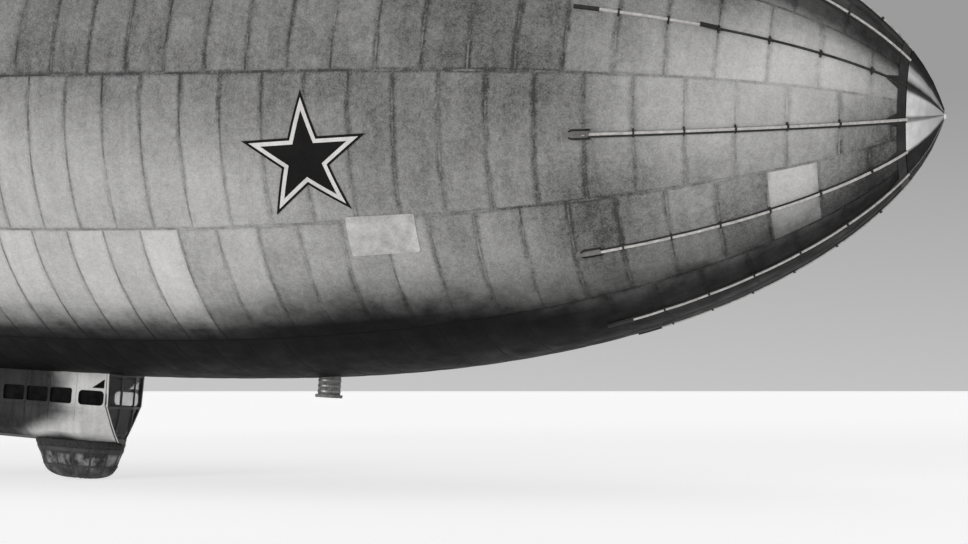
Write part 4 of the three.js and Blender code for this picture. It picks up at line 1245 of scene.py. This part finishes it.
trim, posts, heads = bmesh.new(), bmesh.new(), bmesh.new()
for side in (-1, 1):
    out = (0, side, 0)
    face_y = side * (CABIN_SIDE + 0.0005)
    for aft in JOINTS:
        x = CABIN_FRONT_X - aft
        top = hull_bottom(x, CABIN_SIDE) - 0.01
        strip_through(trim, [(x, face_y, KNEE_Z + 0.01), (x, face_y, top)], out)
        for shift in (-0.005, 0.005):
            rivets(heads, (x + shift, face_y, KNEE_Z + 0.02), (x + shift, face_y, top - 0.01),
                   out, radius=0.0022)
    spans = [(0.02, 2.88)] if side > 0 else [(0.02, DOOR_SPAN[0] - 0.05), (DOOR_SPAN[1] + 0.02, 2.88)]
    for first, last in spans:
        for z, width in ((BELT_Z, 0.014), (KNEE_Z + 0.006, 0.014)):
            line = along_side(side, first, last, z)
            strip_through(trim, line, out, width=width, height=0.004)
            for start, end in zip(line, line[1:]):
                rivets(heads, start + Vector(out) * 0.003, end + Vector(out) * 0.003, out)
    upper = [hull_bottom(CABIN_FRONT_X, CABIN_SIDE) - 0.005, BOW_START_Z - 0.03]
    lower = [BOW_START_Z - 0.03 - 0.02 * i for i in range(22)]
    for heights, strips, width, height in ((upper, posts, 0.022, 0.006), (lower, trim, 0.012, 0.003)):
        post = [(CABIN_FRONT_X + 0.002, side * (bow_half(z) + 0.003), z) for z in heights]
        strip_through(strips, post, (0.35, side, 0), width=width, height=height)
new_piece("cabin_trim", trim, CABIN, slot="cabin_paint")
new_piece("cabin_corner_posts", posts, PALE_TRIM, slot="cabin_paint")
new_piece("cabin_rivets", heads, CABIN, slot="cabin_paint")

# %% [markdown]
# The bumper is a rubbered canvas bag. A copy of its solid is merged and remeshed into even small squares,
# then a short cloth simulation with inner pressure swells it, with its top pinned where it is laced to the
# keel. A cap on the movement keeps it in its place. The seams come after that, because remeshing would
# erase them.

# %% Bumper bag
BAG_VOXEL = 0.017
BAG_SHRINK, BAG_CAP = 0.010, 0.022
BAG_PINNED, BAG_FREE = -3.85, -3.93
BAG_PRESSURE, SWELL_STEPS = 4.0, 18
BAG_CENTRE_X = TIP_X - 9.645
BAG_RAKE, BAG_FLATNESS = 0.08, 0.6
BAG_SEAMS = 14
BAG_SEAM_DEPTH, BAG_SEAM_REACH = 0.009, 0.016
BAG_BAND_Z = [-3.885, -4.075]


def applied(piece):
    """Replace an object's mesh by what its modifiers make of it."""
    graph = bpy.context.evaluated_depsgraph_get()
    made = bpy.data.meshes.new_from_object(piece.evaluated_get(graph))
    old, piece.data = piece.data, made
    piece.modifiers.clear()
    bpy.data.meshes.remove(old)


def swell(piece):
    """Blow the bag up with its top pinned, and cap how far a point may move."""
    rest = [vert.co.copy() for vert in piece.data.vertices]
    pins = piece.vertex_groups.new(name="pinned")
    for vert in piece.data.vertices:
        pins.add([vert.index], smooth_step((vert.co.z - BAG_FREE) / (BAG_PINNED - BAG_FREE)), "REPLACE")
    cloth = piece.modifiers.new("cloth", "CLOTH")
    settings = cloth.settings
    settings.quality = 4
    settings.use_pressure = True
    settings.uniform_pressure_force = BAG_PRESSURE
    settings.effector_weights.gravity = 0.0
    settings.tension_stiffness = settings.compression_stiffness = 10
    settings.vertex_group_mass = "pinned"
    for step in range(1, SWELL_STEPS + 1):
        bpy.context.scene.frame_set(step)
    applied(piece)
    bpy.context.scene.frame_set(1)
    for vert, start in zip(piece.data.vertices, rest):
        moved = vert.co - start
        if moved.length > BAG_CAP:
            vert.co = start + moved * (BAG_CAP / moved.length)
    return max((vert.co - start).length for vert, start in zip(piece.data.vertices, rest))


def bag_axis(z):
    """The bag's raked middle line at a height."""
    return Vector((BAG_CENTRE_X + (KEEL_Z - z) * BAG_RAKE, 0, z))


def bag_seam_depth(point):
    """How far a sewn seam pulls the canvas in."""
    away = point - bag_axis(point.z)
    turn = math.atan2(away.y / BAG_FLATNESS, away.x) / math.tau * BAG_SEAMS
    across = abs(turn - round(turn)) / BAG_SEAMS * math.tau * away.length
    return BAG_SEAM_DEPTH * math.exp(-(across / BAG_SEAM_REACH) ** 2)


bm = bmesh.new()
bm.from_mesh(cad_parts["bumper"].data)
merge(bm)
bag = loose_object("bumper_bag", bm)
remesh = bag.modifiers.new("remesh", "REMESH")
remesh.mode, remesh.voxel_size = "VOXEL", BAG_VOXEL
applied(bag)
bm = bmesh.new()
bm.from_mesh(bag.data)
bm.normal_update()
for vert in bm.verts:
    vert.co -= vert.normal * BAG_SHRINK
bm.to_mesh(bag.data)
bm.free()
print("bag swelled by up to", round(swell(bag), 4))
bm = bmesh.new()
bm.from_mesh(bag.data)
bm.normal_update()
for vert in bm.verts:
    wrinkle = noise.noise(Vector((vert.co.x * 6, vert.co.y * 6, vert.co.z * 14))) * 0.003
    vert.co -= vert.normal * (bag_seam_depth(vert.co) + wrinkle)
bpy.data.objects.remove(bag)
bag = new_piece("bumper_bag", bm, RUBBER, slot="bumper_rubber", replaces=["bumper"], tidy=False)

# %% [markdown]
# Straps over the bag's seams and two bands around it have to lie on the swollen canvas, wherever it went. A
# search tree over the finished bag answers where a line from outside first meets it.

# %% Bumper straps and hem
STRAP_TOP, STRAP_STEP = -3.865, 0.03
bag_tree = BVHTree.FromPolygons([vert.co for vert in bag.data.vertices],
                                [tuple(face.vertices) for face in bag.data.polygons])


def on_bag(turn, z, lift=0.001):
    """The point on the bag in a direction from its middle line, with the outward normal."""
    out = Vector((math.cos(turn), BAG_FLATNESS * math.sin(turn), 0)).normalized()
    place, normal, _, _ = bag_tree.ray_cast(bag_axis(z) + out * 2, -out)
    return place + normal * lift, normal


def strap_on_bag(bm, spots, width, height):
    points, normals = zip(*(on_bag(turn, z) for turn, z in spots))
    runs = directions(list(points))
    sweep(bm, rounded_section(width, height), [axes_at(point, run, normal.cross(run).normalized())
                                               for point, normal, run in zip(points, normals, runs)])


bm = bmesh.new()
for i in range(BAG_SEAMS):
    turn = math.tau * i / BAG_SEAMS
    strap_on_bag(bm, [(turn, STRAP_TOP - STRAP_STEP * step) for step in range(11)], 0.022, 0.004)
for z, width in zip(BAG_BAND_Z, (0.045, 0.026)):
    strap_on_bag(bm, [(math.tau * i / 90, z) for i in range(91)], width, 0.005)
new_piece("bumper_straps", bm, STRAP, slot="bumper_rubber")

# %% [markdown]
# The four fins are one drawing turned about the hull's axis: X runs forward, Y away from the hull and Z
# across the fin. Cloth is stretched over ribs and spars, which show as low ridges. Ribs on a rudder or an
# elevator belong to its own body, so that they turn with it.

# %% Tail surfaces
FIN_TURNS = {"top": 90, "left": 0, "bottom": -90, "right": 180}
BLADES = {"top": "rudder_top", "left": "elevator_left", "bottom": "rudder_bottom", "right": "elevator_right"}
FIN_FRONT = [(2.46, 18.5), (2.78, 19.0), (3.11, 20.6), (3.15, 20.85)]
FIN_HALF, FIN_TIP, FIN_END = 0.042, 3.15, 22.6
FIN_RIBS = [1.5, 1.8, 2.1, 2.4, 2.7, 2.95]
FIN_SPARS = [20.6, 21.6, 22.45]
HINGE, BLADE_CHORD = 22.66, 1.15
BLADE_BACK = [(1.66, 0.62), (2.02, 1.15), (2.80, 1.15), (3.06, 0.89)]
BLADE_RIBS = [1.85, 2.1, 2.35, 2.6, 2.85]
HORN_HEIGHT, HORN_REACH = 2.36, 0.12
BRACES = [(21.6, 2.7), (22.3, 2.2)]


def about_hull(name):
    return Matrix.Rotation(math.radians(FIN_TURNS[name]), 4, "X")


def tail_station(radius):
    """Where the hull's taper comes down to a radius."""
    share = (1 - (radius / HULL_RADIUS) ** (1 / TAIL_ROUNDING)) ** (1 / TAIL_POWER)
    return NOSE_LENGTH + MIDDLE_LENGTH + TAIL_LENGTH * share


def blade_half(chord):
    return 0.035 - 0.026 * chord / BLADE_CHORD


def ridge_on_tail(bm, path, width=0.022, height=0.0035):
    """Low cloth-covered ridges on both faces along a path of (station, height, half thickness)."""
    for face in (-1, 1):
        points = [(TIP_X - station, up, face * half) for station, up, half in path]
        strip_through(bm, points, (0, 0, face), width, height)


def edge_tube(bm, path, radius):
    for (start, low), (end, high) in zip(path, path[1:]):
        rod(bm, (TIP_X - start, low, 0), (TIP_X - end, high, 0), radius, 14)


def fin_frame(bm):
    for height in FIN_RIBS:
        front = by_station(FIN_FRONT, height) if height > FIN_FRONT[0][0] else tail_station(height)
        ridge_on_tail(bm, [(front + 0.02, height, FIN_HALF), (FIN_END - 0.02, height, FIN_HALF)])
    for station in FIN_SPARS:
        top = by_station([(s, h) for h, s in FIN_FRONT], station) - 0.01
        ridge_on_tail(bm, [(station, hull_radius(station) - 0.01, FIN_HALF), (station, top, FIN_HALF)],
                      0.03, 0.005)
    edge_tube(bm, [(s, h) for h, s in FIN_FRONT] + [(FIN_END - 0.02, FIN_TIP)], FIN_HALF)


def blade_frame(bm):
    for height in BLADE_RIBS:
        back = by_station(BLADE_BACK, height) - 0.015
        ridge_on_tail(bm, [(HINGE + d, height, blade_half(d)) for d in (0.03, back)], 0.016)
    edge_tube(bm, [(HINGE + d, h) for h, d in BLADE_BACK], 0.011)
    box(bm, (TIP_X - HINGE - 0.11, HORN_HEIGHT - 0.005, -HORN_REACH),
        (TIP_X - HINGE - 0.05, HORN_HEIGHT + 0.005, HORN_REACH), 0.003)


TAIL = plain_finish("tail_fabric", 0.13, 0.40, 0.62, cloud=1.6, mottle=45.0, depth=0.001, specular=0.1)
RIB_TAPE = plain_finish("rib_tape", 0.08, 0.20, 0.62, cloud=2.5, mottle=60.0, depth=0.001, specular=0.1)
paint_nodes(TAIL, *[f"fin_{name}" for name in FIN_TURNS], *BLADES.values())
frames, braces = bmesh.new(), bmesh.new()
for name in FIN_TURNS:
    part, blade = bmesh.new(), bmesh.new()
    fin_frame(part)
    blade_frame(blade)
    bmesh.ops.transform(blade, matrix=about_hull(name), verts=blade.verts)
    add_mesh(frames, part, about_hull(name))
    new_piece(f"{BLADES[name]}_frame", blade, RIB_TAPE, body=BLADES[name], slot="tail_fabric")
    quarter = Matrix.Rotation(math.pi / 2, 4, "X")
    for station, height in BRACES:
        start = about_hull(name) @ Vector((TIP_X - station, height, FIN_HALF))
        end = quarter @ about_hull(name) @ Vector((TIP_X - station, height, -FIN_HALF))
        rod(braces, start, end, 0.004, 8)
        for foot, other in ((start, end), (end, start)):
            run = (other - foot).normalized()
            rod(braces, foot - run * 0.01, foot + run * 0.03, 0.016, 12)
            rod(braces, foot + run * 0.10, foot + run * 0.22, 0.009, 10)
new_piece("fin_frames", frames, RIB_TAPE, slot="tail_fabric")
new_piece("tail_bracing", braces, STEEL, slot="dark_steel")

# %% [markdown]
# A radial engine is one cylinder drawn five times. The cylinder stands on Z: a stack of thin cooling fins,
# two rocker boxes, two push rods in front, an intake pipe and an exhaust pipe behind. A ring gathers the
# exhaust.

# %% Engines
ENGINE_Y, ENGINE_Z = 1.55, -3.45
ENGINE_BACK, CYLINDER_X = -0.2497, -0.1497
CYLINDERS = 5
CRANKCASE = [(0.0, 0.0), (0.0, 0.118), (0.008, 0.122), (0.088, 0.122), (0.10, 0.114), (0.205, 0.088),
             (0.215, 0.080), (0.235, 0.050), (0.240, 0.044), (0.241, 0.025), (0.314, 0.0245), (0.314, 0.0)]
BARREL_FIRST, BARREL_FINS, HEAD_FIRST, HEAD_FINS, FIN_PITCH = 0.088, 11, 0.210, 6, 0.0105
EXHAUST_RING, EXHAUST_RADIUS, EXHAUST_X = 0.228, 0.013, -0.234


def pipe(bm, points, radius, sides=12):
    """A bent pipe: rods between points, with a ball at every bend."""
    for start, end in zip(points, points[1:]):
        rod(bm, start, end, radius, sides)
    for point in points[1:-1]:
        bmesh.ops.create_uvsphere(bm, u_segments=sides, v_segments=8, radius=radius,
                                  matrix=Matrix.Translation(point))


def cylinder(bm):
    rod(bm, (0, 0, 0.08), (0, 0, 0.262), 0.045, 20)
    for i in range(BARREL_FINS):
        z = BARREL_FIRST + FIN_PITCH * i
        rod(bm, (0, 0, z), (0, 0, z + 0.003), 0.056, 24)
    for i in range(HEAD_FINS):
        z = HEAD_FIRST + FIN_PITCH * i
        rod(bm, (0, 0, z), (0, 0, z + 0.003), 0.061, 24)
    for side in (-1, 1):
        box(bm, (-0.030, side * 0.022 - 0.013, 0.255), (0.034, side * 0.022 + 0.013, 0.283), 0.004)
        rod(bm, (0.062, side * 0.014, 0.080), (0.030, side * 0.022, 0.262), 0.004, 8)
        rod(bm, (0.0, side * 0.045, 0.235), (0.0, side * 0.078, 0.240), 0.006, 8)
    pipe(bm, [(-0.085, 0.02, 0.10), (-0.075, 0.045, 0.19), (-0.03, 0.035, 0.235)], 0.011)
    outlet = (EXHAUST_X - CYLINDER_X, -0.040, 0.226)
    pipe(bm, [(-0.03, -0.035, 0.235), (-0.066, -0.040, 0.238), outlet], 0.011)


def engine(bm, centre):
    turned(bm, [(ENGINE_BACK + along, radius) for along, radius in CRANKCASE], centre, steps=32)
    for i in range(8):
        around = Matrix.Rotation(math.tau * (i + 0.5) / 8, 4, "X")
        foot = around @ Vector((ENGINE_BACK + 0.10, 0, 0.104))
        rod(bm, centre + foot, centre + foot + Vector((0.012, 0, 0)), 0.006, 6)
    for i in range(CYLINDERS):
        part = bmesh.new()
        cylinder(part)
        around = Matrix.Rotation(math.tau * i / CYLINDERS, 4, "X")
        add_mesh(bm, part, Matrix.Translation(centre + Vector((CYLINDER_X, 0, 0))) @ around)
    ring = [math.tau * i / 10 for i in range(11)]
    turned(bm, [(EXHAUST_X + EXHAUST_RADIUS * math.cos(a), EXHAUST_RING + EXHAUST_RADIUS * math.sin(a))
                for a in ring], centre, steps=60)
    outlet = [(EXHAUST_X, 0, -0.228), (-0.31, 0, -0.246), (-0.62, 0, -0.250)]
    pipe(bm, [centre + Vector(at) for at in outlet], 0.017)


# %% [markdown]
# The nacelle is a turned body, cut flat where the outrigger's plate meets it, with bands over the sheet
# joints and louvres. A propeller blade is one lens-shaped section that grows, thins and twists along its
# span.

# %% Nacelles and propellers
NACELLE_START, NACELLE_FLAT = -0.25, 1.3473
NACELLE_SHAPE = [(-0.76, 0.0), (-0.76, 0.03), (-0.748, 0.045), (-0.68, 0.083), (-0.5928, 0.122),
                 (-0.47, 0.164), (-0.342, 0.196), (-0.22, 0.210), (-0.114, 0.2155), (-0.02, 0.215),
                 (-0.006, 0.207), (0.0, 0.190), (0.0, 0.0)]
NACELLE_BANDS = [-0.030, -0.215, -0.43]
LOUVRES, LOUVRE_PITCH, LOUVRE_LEAN = 8, 0.017, math.radians(-24)
HUB_X, HUB_HALF, HUB_RADIUS = 0.1, 0.035, 0.052
SPAN_START, SPAN_END, SPAN_STEPS = 0.04, 0.60, 26
TIP_ROUNDING = 0.07
ROOT_PITCH, PITCH_DROP = 58, 40


def nacelle(bm, centre, side):
    turned(bm, [(NACELLE_START + along, radius) for along, radius in NACELLE_SHAPE], centre)
    merge(bm)
    for band in NACELLE_BANDS:
        radius = by_station(NACELLE_SHAPE[1:], band)
        flat = [(-0.012, -0.004), (-0.010, 0.0035), (0.010, 0.0035), (0.012, -0.004)]
        turned(bm, [(NACELLE_START + band + a, radius + r) for a, r in flat + flat[:1]], centre)
    for turn in (35, -35, -145):
        for i in range(LOUVRES):
            along = (-0.26 if turn == 35 else -0.07) - LOUVRE_PITCH * i
            radius = by_station(NACELLE_SHAPE[1:], along)
            place = (Matrix.Translation(centre + Vector((NACELLE_START + along, 0, 0)))
                     @ Matrix.Rotation(math.radians(-90 - turn) * side, 4, "X")
                     @ Matrix.Translation((0, 0, radius)) @ Matrix.Rotation(LOUVRE_LEAN, 4, "Y"))
            box(bm, (-0.006, -0.042, -0.012), (0.006, 0.042, 0.004), 0.0015, place)
    merge(bm)
    cut = bmesh.ops.bisect_plane(
        bm, geom=everything(bm), plane_co=(0, side * NACELLE_FLAT, 0),
        plane_no=(0, -side, 0), clear_outer=True)["geom_cut"]
    bmesh.ops.holes_fill(bm, edges=[item for item in cut if isinstance(item, bmesh.types.BMEdge)], sides=0)


def lens(t):
    """Point t of 0 to 2 around a blade's section: over the back, then under the face."""
    control = Vector((-0.1, 0.2)) if t < 1 else Vector((0.0, -0.1))
    ends = (Vector((-0.5, 0)), Vector((0.5, 0))) if t < 1 else (Vector((0.5, 0)), Vector((-0.5, 0)))
    t %= 1
    return ends[0] * (1 - t) ** 2 + control * (2 * t * (1 - t)) + ends[1] * t ** 2


def blade_place(centre, t, way):
    """The frame of a blade's section: Y runs along the chord and Z through the thickness."""
    chord = 0.058 + 0.062 * math.sin(math.pi * min(1, 0.12 + t * 0.86))
    thickness = chord * (1.3 - 0.8 * t)
    late = max(0.0, (t - 1 + TIP_ROUNDING) / TIP_ROUNDING)
    chord *= max(0.12, math.sqrt(1 - late ** 2))
    angle = math.radians(ROOT_PITCH - PITCH_DROP * t)
    along = Vector((math.sin(angle), 0, math.cos(angle) * way)) * chord
    through = Vector((math.cos(angle), 0, -math.sin(angle) * way)) * thickness
    span = SPAN_START + (SPAN_END - SPAN_START) * t
    axes = Matrix((Vector((0, way, 0)), along, through)).transposed().to_4x4()
    return Matrix.Translation(centre + Vector((0, way * span, 0))) @ axes


def propeller(bm, centre):
    section = [lens(t / 10) for t in range(20)]
    for way in (-1, 1):
        sweep(bm, section, [blade_place(centre, i / SPAN_STEPS, way) for i in range(SPAN_STEPS + 1)])
    wood = set(bm.faces)
    for face in wood:
        middle = face.calc_center_median() - centre
        t = (abs(middle.y) - SPAN_START) / (SPAN_END - SPAN_START)
        place = blade_place(centre, min(0.99, max(0.0, t)), 1 if middle.y > 0 else -1)
        sheathed = t > 0.45 and (place.inverted() @ face.calc_center_median()).y > 0.30
        face.material_index = 1 if sheathed else 0
    shape = [(-HUB_HALF, 0.0), (-HUB_HALF, 0.046), (-0.030, HUB_RADIUS), (0.030, HUB_RADIUS),
             (HUB_HALF, 0.046), (HUB_HALF, 0.040), (0.041, 0.038), (0.042, 0.022), (0.053, 0.020), (0.053, 0.0)]
    turned(bm, shape, centre, steps=36)
    for i in range(6):
        around = Matrix.Rotation(math.tau * i / 6, 4, "X") @ Vector((0, 0, 0.030))
        rod(bm, centre + around + Vector((0.036, 0, 0)), centre + around + Vector((0.047, 0, 0)), 0.005, 6)
    for face in bm.faces:
        if face not in wood:
            face.material_index = 1 if face.calc_center_median().x > centre.x + HUB_HALF else 0


def laminated():
    """Varnished wood, glued from boards across the propeller's axis."""
    finish = Finish("propeller_wood", grey(0.12, 0.2), 0.3, specular=0.5)
    x, _, _ = finish.parts()
    grain = finish.noise(1.0, 4.0, 0.6, finish.stretched((90.0, 6.0, 60.0)))
    boards = finish.math("FRACT", finish.times(x, 62.0))
    glue = finish.span(finish.away(boards, 0.5), 0.40, 0.48)
    wood = finish.mix(finish.span(grain, 0.3, 0.7), rgba(0.06, 0.22), rgba(0.15, 0.22))
    finish.colour(finish.mix(glue, wood, rgba(0.035, 0.2)))
    finish.roughness(finish.span(grain, 0.3, 0.7, 0.24, 0.38))
    return finish.material


WOOD = laminated()
for label, side in (("right", -1), ("left", 1)):
    centre = Vector((0, side * ENGINE_Y, ENGINE_Z))
    bm = bmesh.new()
    engine(bm, centre)
    new_piece(f"engine_{label}_finned", bm, IRON, slot="engine_iron", replaces=[f"engine_{label}"])
    bm = bmesh.new()
    nacelle(bm, centre, side)
    new_piece(f"nacelle_{label}_shell", bm, CABIN, slot="cabin_paint", replaces=[f"nacelle_{label}"])
    bm = bmesh.new()
    propeller(bm, centre + Vector((HUB_X, 0, 0)))
    new_piece(f"propeller_{label}_carved", bm, WOOD, STEEL, body=f"propeller_{label}", slot="propeller_wood",
              replaces=[f"propeller_{label}"])

# %% [markdown]
# Small fittings finish the joints: collars and bolts on the outriggers, bands and bolts on the filling
# neck, and a ring of bolts and a sprung disc on each gas valve.

# %% Outrigger and hull fittings
WALL_PLATE_Y, POD_PLATE_Y, PLATE = 0.3503, 1.347, 0.012
STRUTS = [((0.19, -3.18), (-0.36, -3.40)), ((-0.25, -3.18), (-0.64, -3.40)),
          ((0.19, -3.51), (-0.36, -3.50)), ((-0.25, -3.51), (-0.64, -3.50))]
NECK_X, NECK_RADIUS, NECK_DROP = 5.2, 0.125, 0.23
VALVES = [(0.2, 1, 0.33, 0.060), (-3.8, -1, 0.26, 0.070)]


def bolt_ring(bm, centre, axis, radius, count, size):
    """Bolt heads around a centre, standing along an axis."""
    axis = Vector(axis)
    start = axis.orthogonal().normalized() * radius
    for i in range(count):
        foot = Vector(centre) + Matrix.Rotation(math.tau * i / count, 3, axis) @ start
        rod(bm, foot - axis * size * 0.4, foot + axis * size * 0.8, size, 6)


bm = bmesh.new()
for side in (-1, 1):
    for wall, pod in STRUTS:
        foot = Vector((wall[0], side * (WALL_PLATE_Y + PLATE), wall[1]))
        head = Vector((pod[0], side * (POD_PLATE_Y - PLATE), pod[1]))
        run = (head - foot).normalized()
        for end, way in ((foot, 1), (head, -1)):
            rod(bm, end - run * way * 0.004, end + run * way * 0.055, 0.0225, 16)
            rod(bm, end + run * way * 0.055, end + run * way * 0.062, 0.0225, 16, 0.0175)
            bolt_ring(bm, end, (0, side * way, 0), 0.034, 4, 0.0055)
    for i in range(5):
        for z in (-3.55, -3.345, -3.14):
            foot = Vector((-0.285 + 0.1275 * i, side * (WALL_PLATE_Y + PLATE), z))
            rod(bm, foot, foot + Vector((0, side * 0.004, 0)), 0.006, 6)
new_piece("outrigger_fittings", bm, STEEL, slot="dark_steel")
bm = bmesh.new()
neck_top = -hull_radius(TIP_X - NECK_X)
for drop in (0.045, 0.105, 0.165):
    flat = [(-0.009, -0.002), (-0.009, 0.004), (0.009, 0.004), (0.009, -0.002)]
    turned(bm, [(neck_top - drop + a, NECK_RADIUS + r) for a, r in flat + flat[:1]], (NECK_X, 0, 0), "Z")
bolt_ring(bm, (NECK_X, 0, neck_top - NECK_DROP), (0, 0, -1), 0.138, 16, 0.006)
turned(bm, [(neck_top - NECK_DROP + 0.001, 0.116), (neck_top - NECK_DROP - 0.004, 0.112),
            (neck_top - NECK_DROP - 0.005, 0.0)], (NECK_X, 0, 0), "Z")
for x, way, radius, height in VALVES:
    face = way * hull_radius(TIP_X - x)
    bolt_ring(bm, (x, 0, face + way * 0.020), (0, 0, way), radius - 0.018, 28, 0.006)
    disc = [(0.0, 0.10), (0.012, 0.094), (0.014, 0.03), (0.03, 0.026), (0.032, 0.0)]
    turned(bm, [(face + way * (height + up), across) for up, across in disc], (x, 0, 0), "Z")
new_piece("hull_fittings", bm, STEEL, slot="dark_steel")

# %% [markdown]
# The stage is a plain pale floor just under the bumper and a pale world. In the photograph the airship
# rides a little nose down and heeled, so the floor leans by three degrees in the airship's own frame and
# the horizon comes out level. The light comes low from the front left, and the pale floor gives a little
# light of its own.

# %% Floor, world and lights
FLOOR_UNDER = Vector((1.98, 0, -4.236))
FLOOR_NORMAL = Vector((-0.05623, -0.02508, 1.00139)).normalized()
FLOOR_SIZE = 900.0
SKY_TONE, HORIZON_TONE, HORIZON_FADE = 0.33, 0.56, 0.22
FLOOR_TONE, FLOOR_GLOW = 0.50, 0.66

bm = bmesh.new()
lean = Matrix.Translation(FLOOR_UNDER) @ FLOOR_NORMAL.to_track_quat("Z", "Y").to_matrix().to_4x4()
bmesh.ops.create_grid(bm, x_segments=1, y_segments=1, size=FLOOR_SIZE / 2, matrix=lean)
floor = loose_object("floor", bm)
floor_paint = Finish("floor_paint", grey(FLOOR_TONE), 0.95)
floor_paint.shader.inputs["Emission Color"].default_value = (1, 1, 1, 1)
floor_paint.shader.inputs["Emission Strength"].default_value = FLOOR_GLOW
floor.data.materials.append(floor_paint.material)

world = bpy.data.worlds.new("studio")
bpy.context.scene.world = world
world.use_nodes = True
background = world.node_tree.nodes["Background"]
background.inputs["Strength"].default_value = 1.0
sky = world.node_tree.nodes
links = world.node_tree.links
direction, split = sky.new("ShaderNodeTexCoord"), sky.new("ShaderNodeSeparateXYZ")
fade = sky.new("ShaderNodeMapRange")
for socket, value in zip(list(fade.inputs)[1:5], (0.0, HORIZON_FADE, HORIZON_TONE, SKY_TONE)):
    socket.default_value = value
links.new(direction.outputs["Generated"], split.inputs[0])
links.new(split.outputs["Z"], fade.inputs[0])
links.new(fade.outputs[0], background.inputs["Color"])
bpy.context.scene.view_settings.view_transform = "Standard"


def sun(name, azimuth, elevation, strength, softness):
    """A soft sun: azimuth from the airship's right side towards the nose."""
    light = bpy.data.lights.new(name, "SUN")
    light.energy = strength
    light.angle = math.radians(softness)
    lamp = bpy.data.objects.new(name, light)
    a, e = math.radians(azimuth), math.radians(elevation)
    towards = Vector((math.sin(a) * math.cos(e), -math.cos(a) * math.cos(e), math.sin(e)))
    lamp.rotation_mode = "QUATERNION"
    lamp.rotation_quaternion = towards.to_track_quat("Z", "Y")
    bpy.context.scene.collection.objects.link(lamp)


sun("key", -28, 8, 1.55, 30)
sun("fill", 60, 50, 0.35, 60)
print("lights ready")

# %% [markdown]
# The camera stands at eye height by the nose, as in the photograph. Its place was solved from the seams,
# the laths and the outline, so the script only states it.

# %% Camera
CAMERA_PLACE = Vector((12.54525, -14.25, -2.93075))
CAMERA_RIGHT = Vector((0.93102, 0.35978, 0.06130))
CAMERA_UP = Vector((-0.02675, -0.10022, 0.99461))
FOCAL_PIXELS = 1432
IMAGE_WIDTH = 968
SENSOR = 36.0

camera = bpy.data.cameras.new("camera")
camera.sensor_width = SENSOR
camera.lens = FOCAL_PIXELS / IMAGE_WIDTH * SENSOR
camera.clip_end = 2000
eye = bpy.data.objects.new("camera", camera)
right = CAMERA_RIGHT.normalized()
up = right.cross(CAMERA_UP).normalized().cross(right)
eye.matrix_world = axes_at(CAMERA_PLACE, right, up)
bpy.context.scene.collection.objects.link(eye)
bpy.context.scene.camera = eye
print("lens:", round(camera.lens, 2))
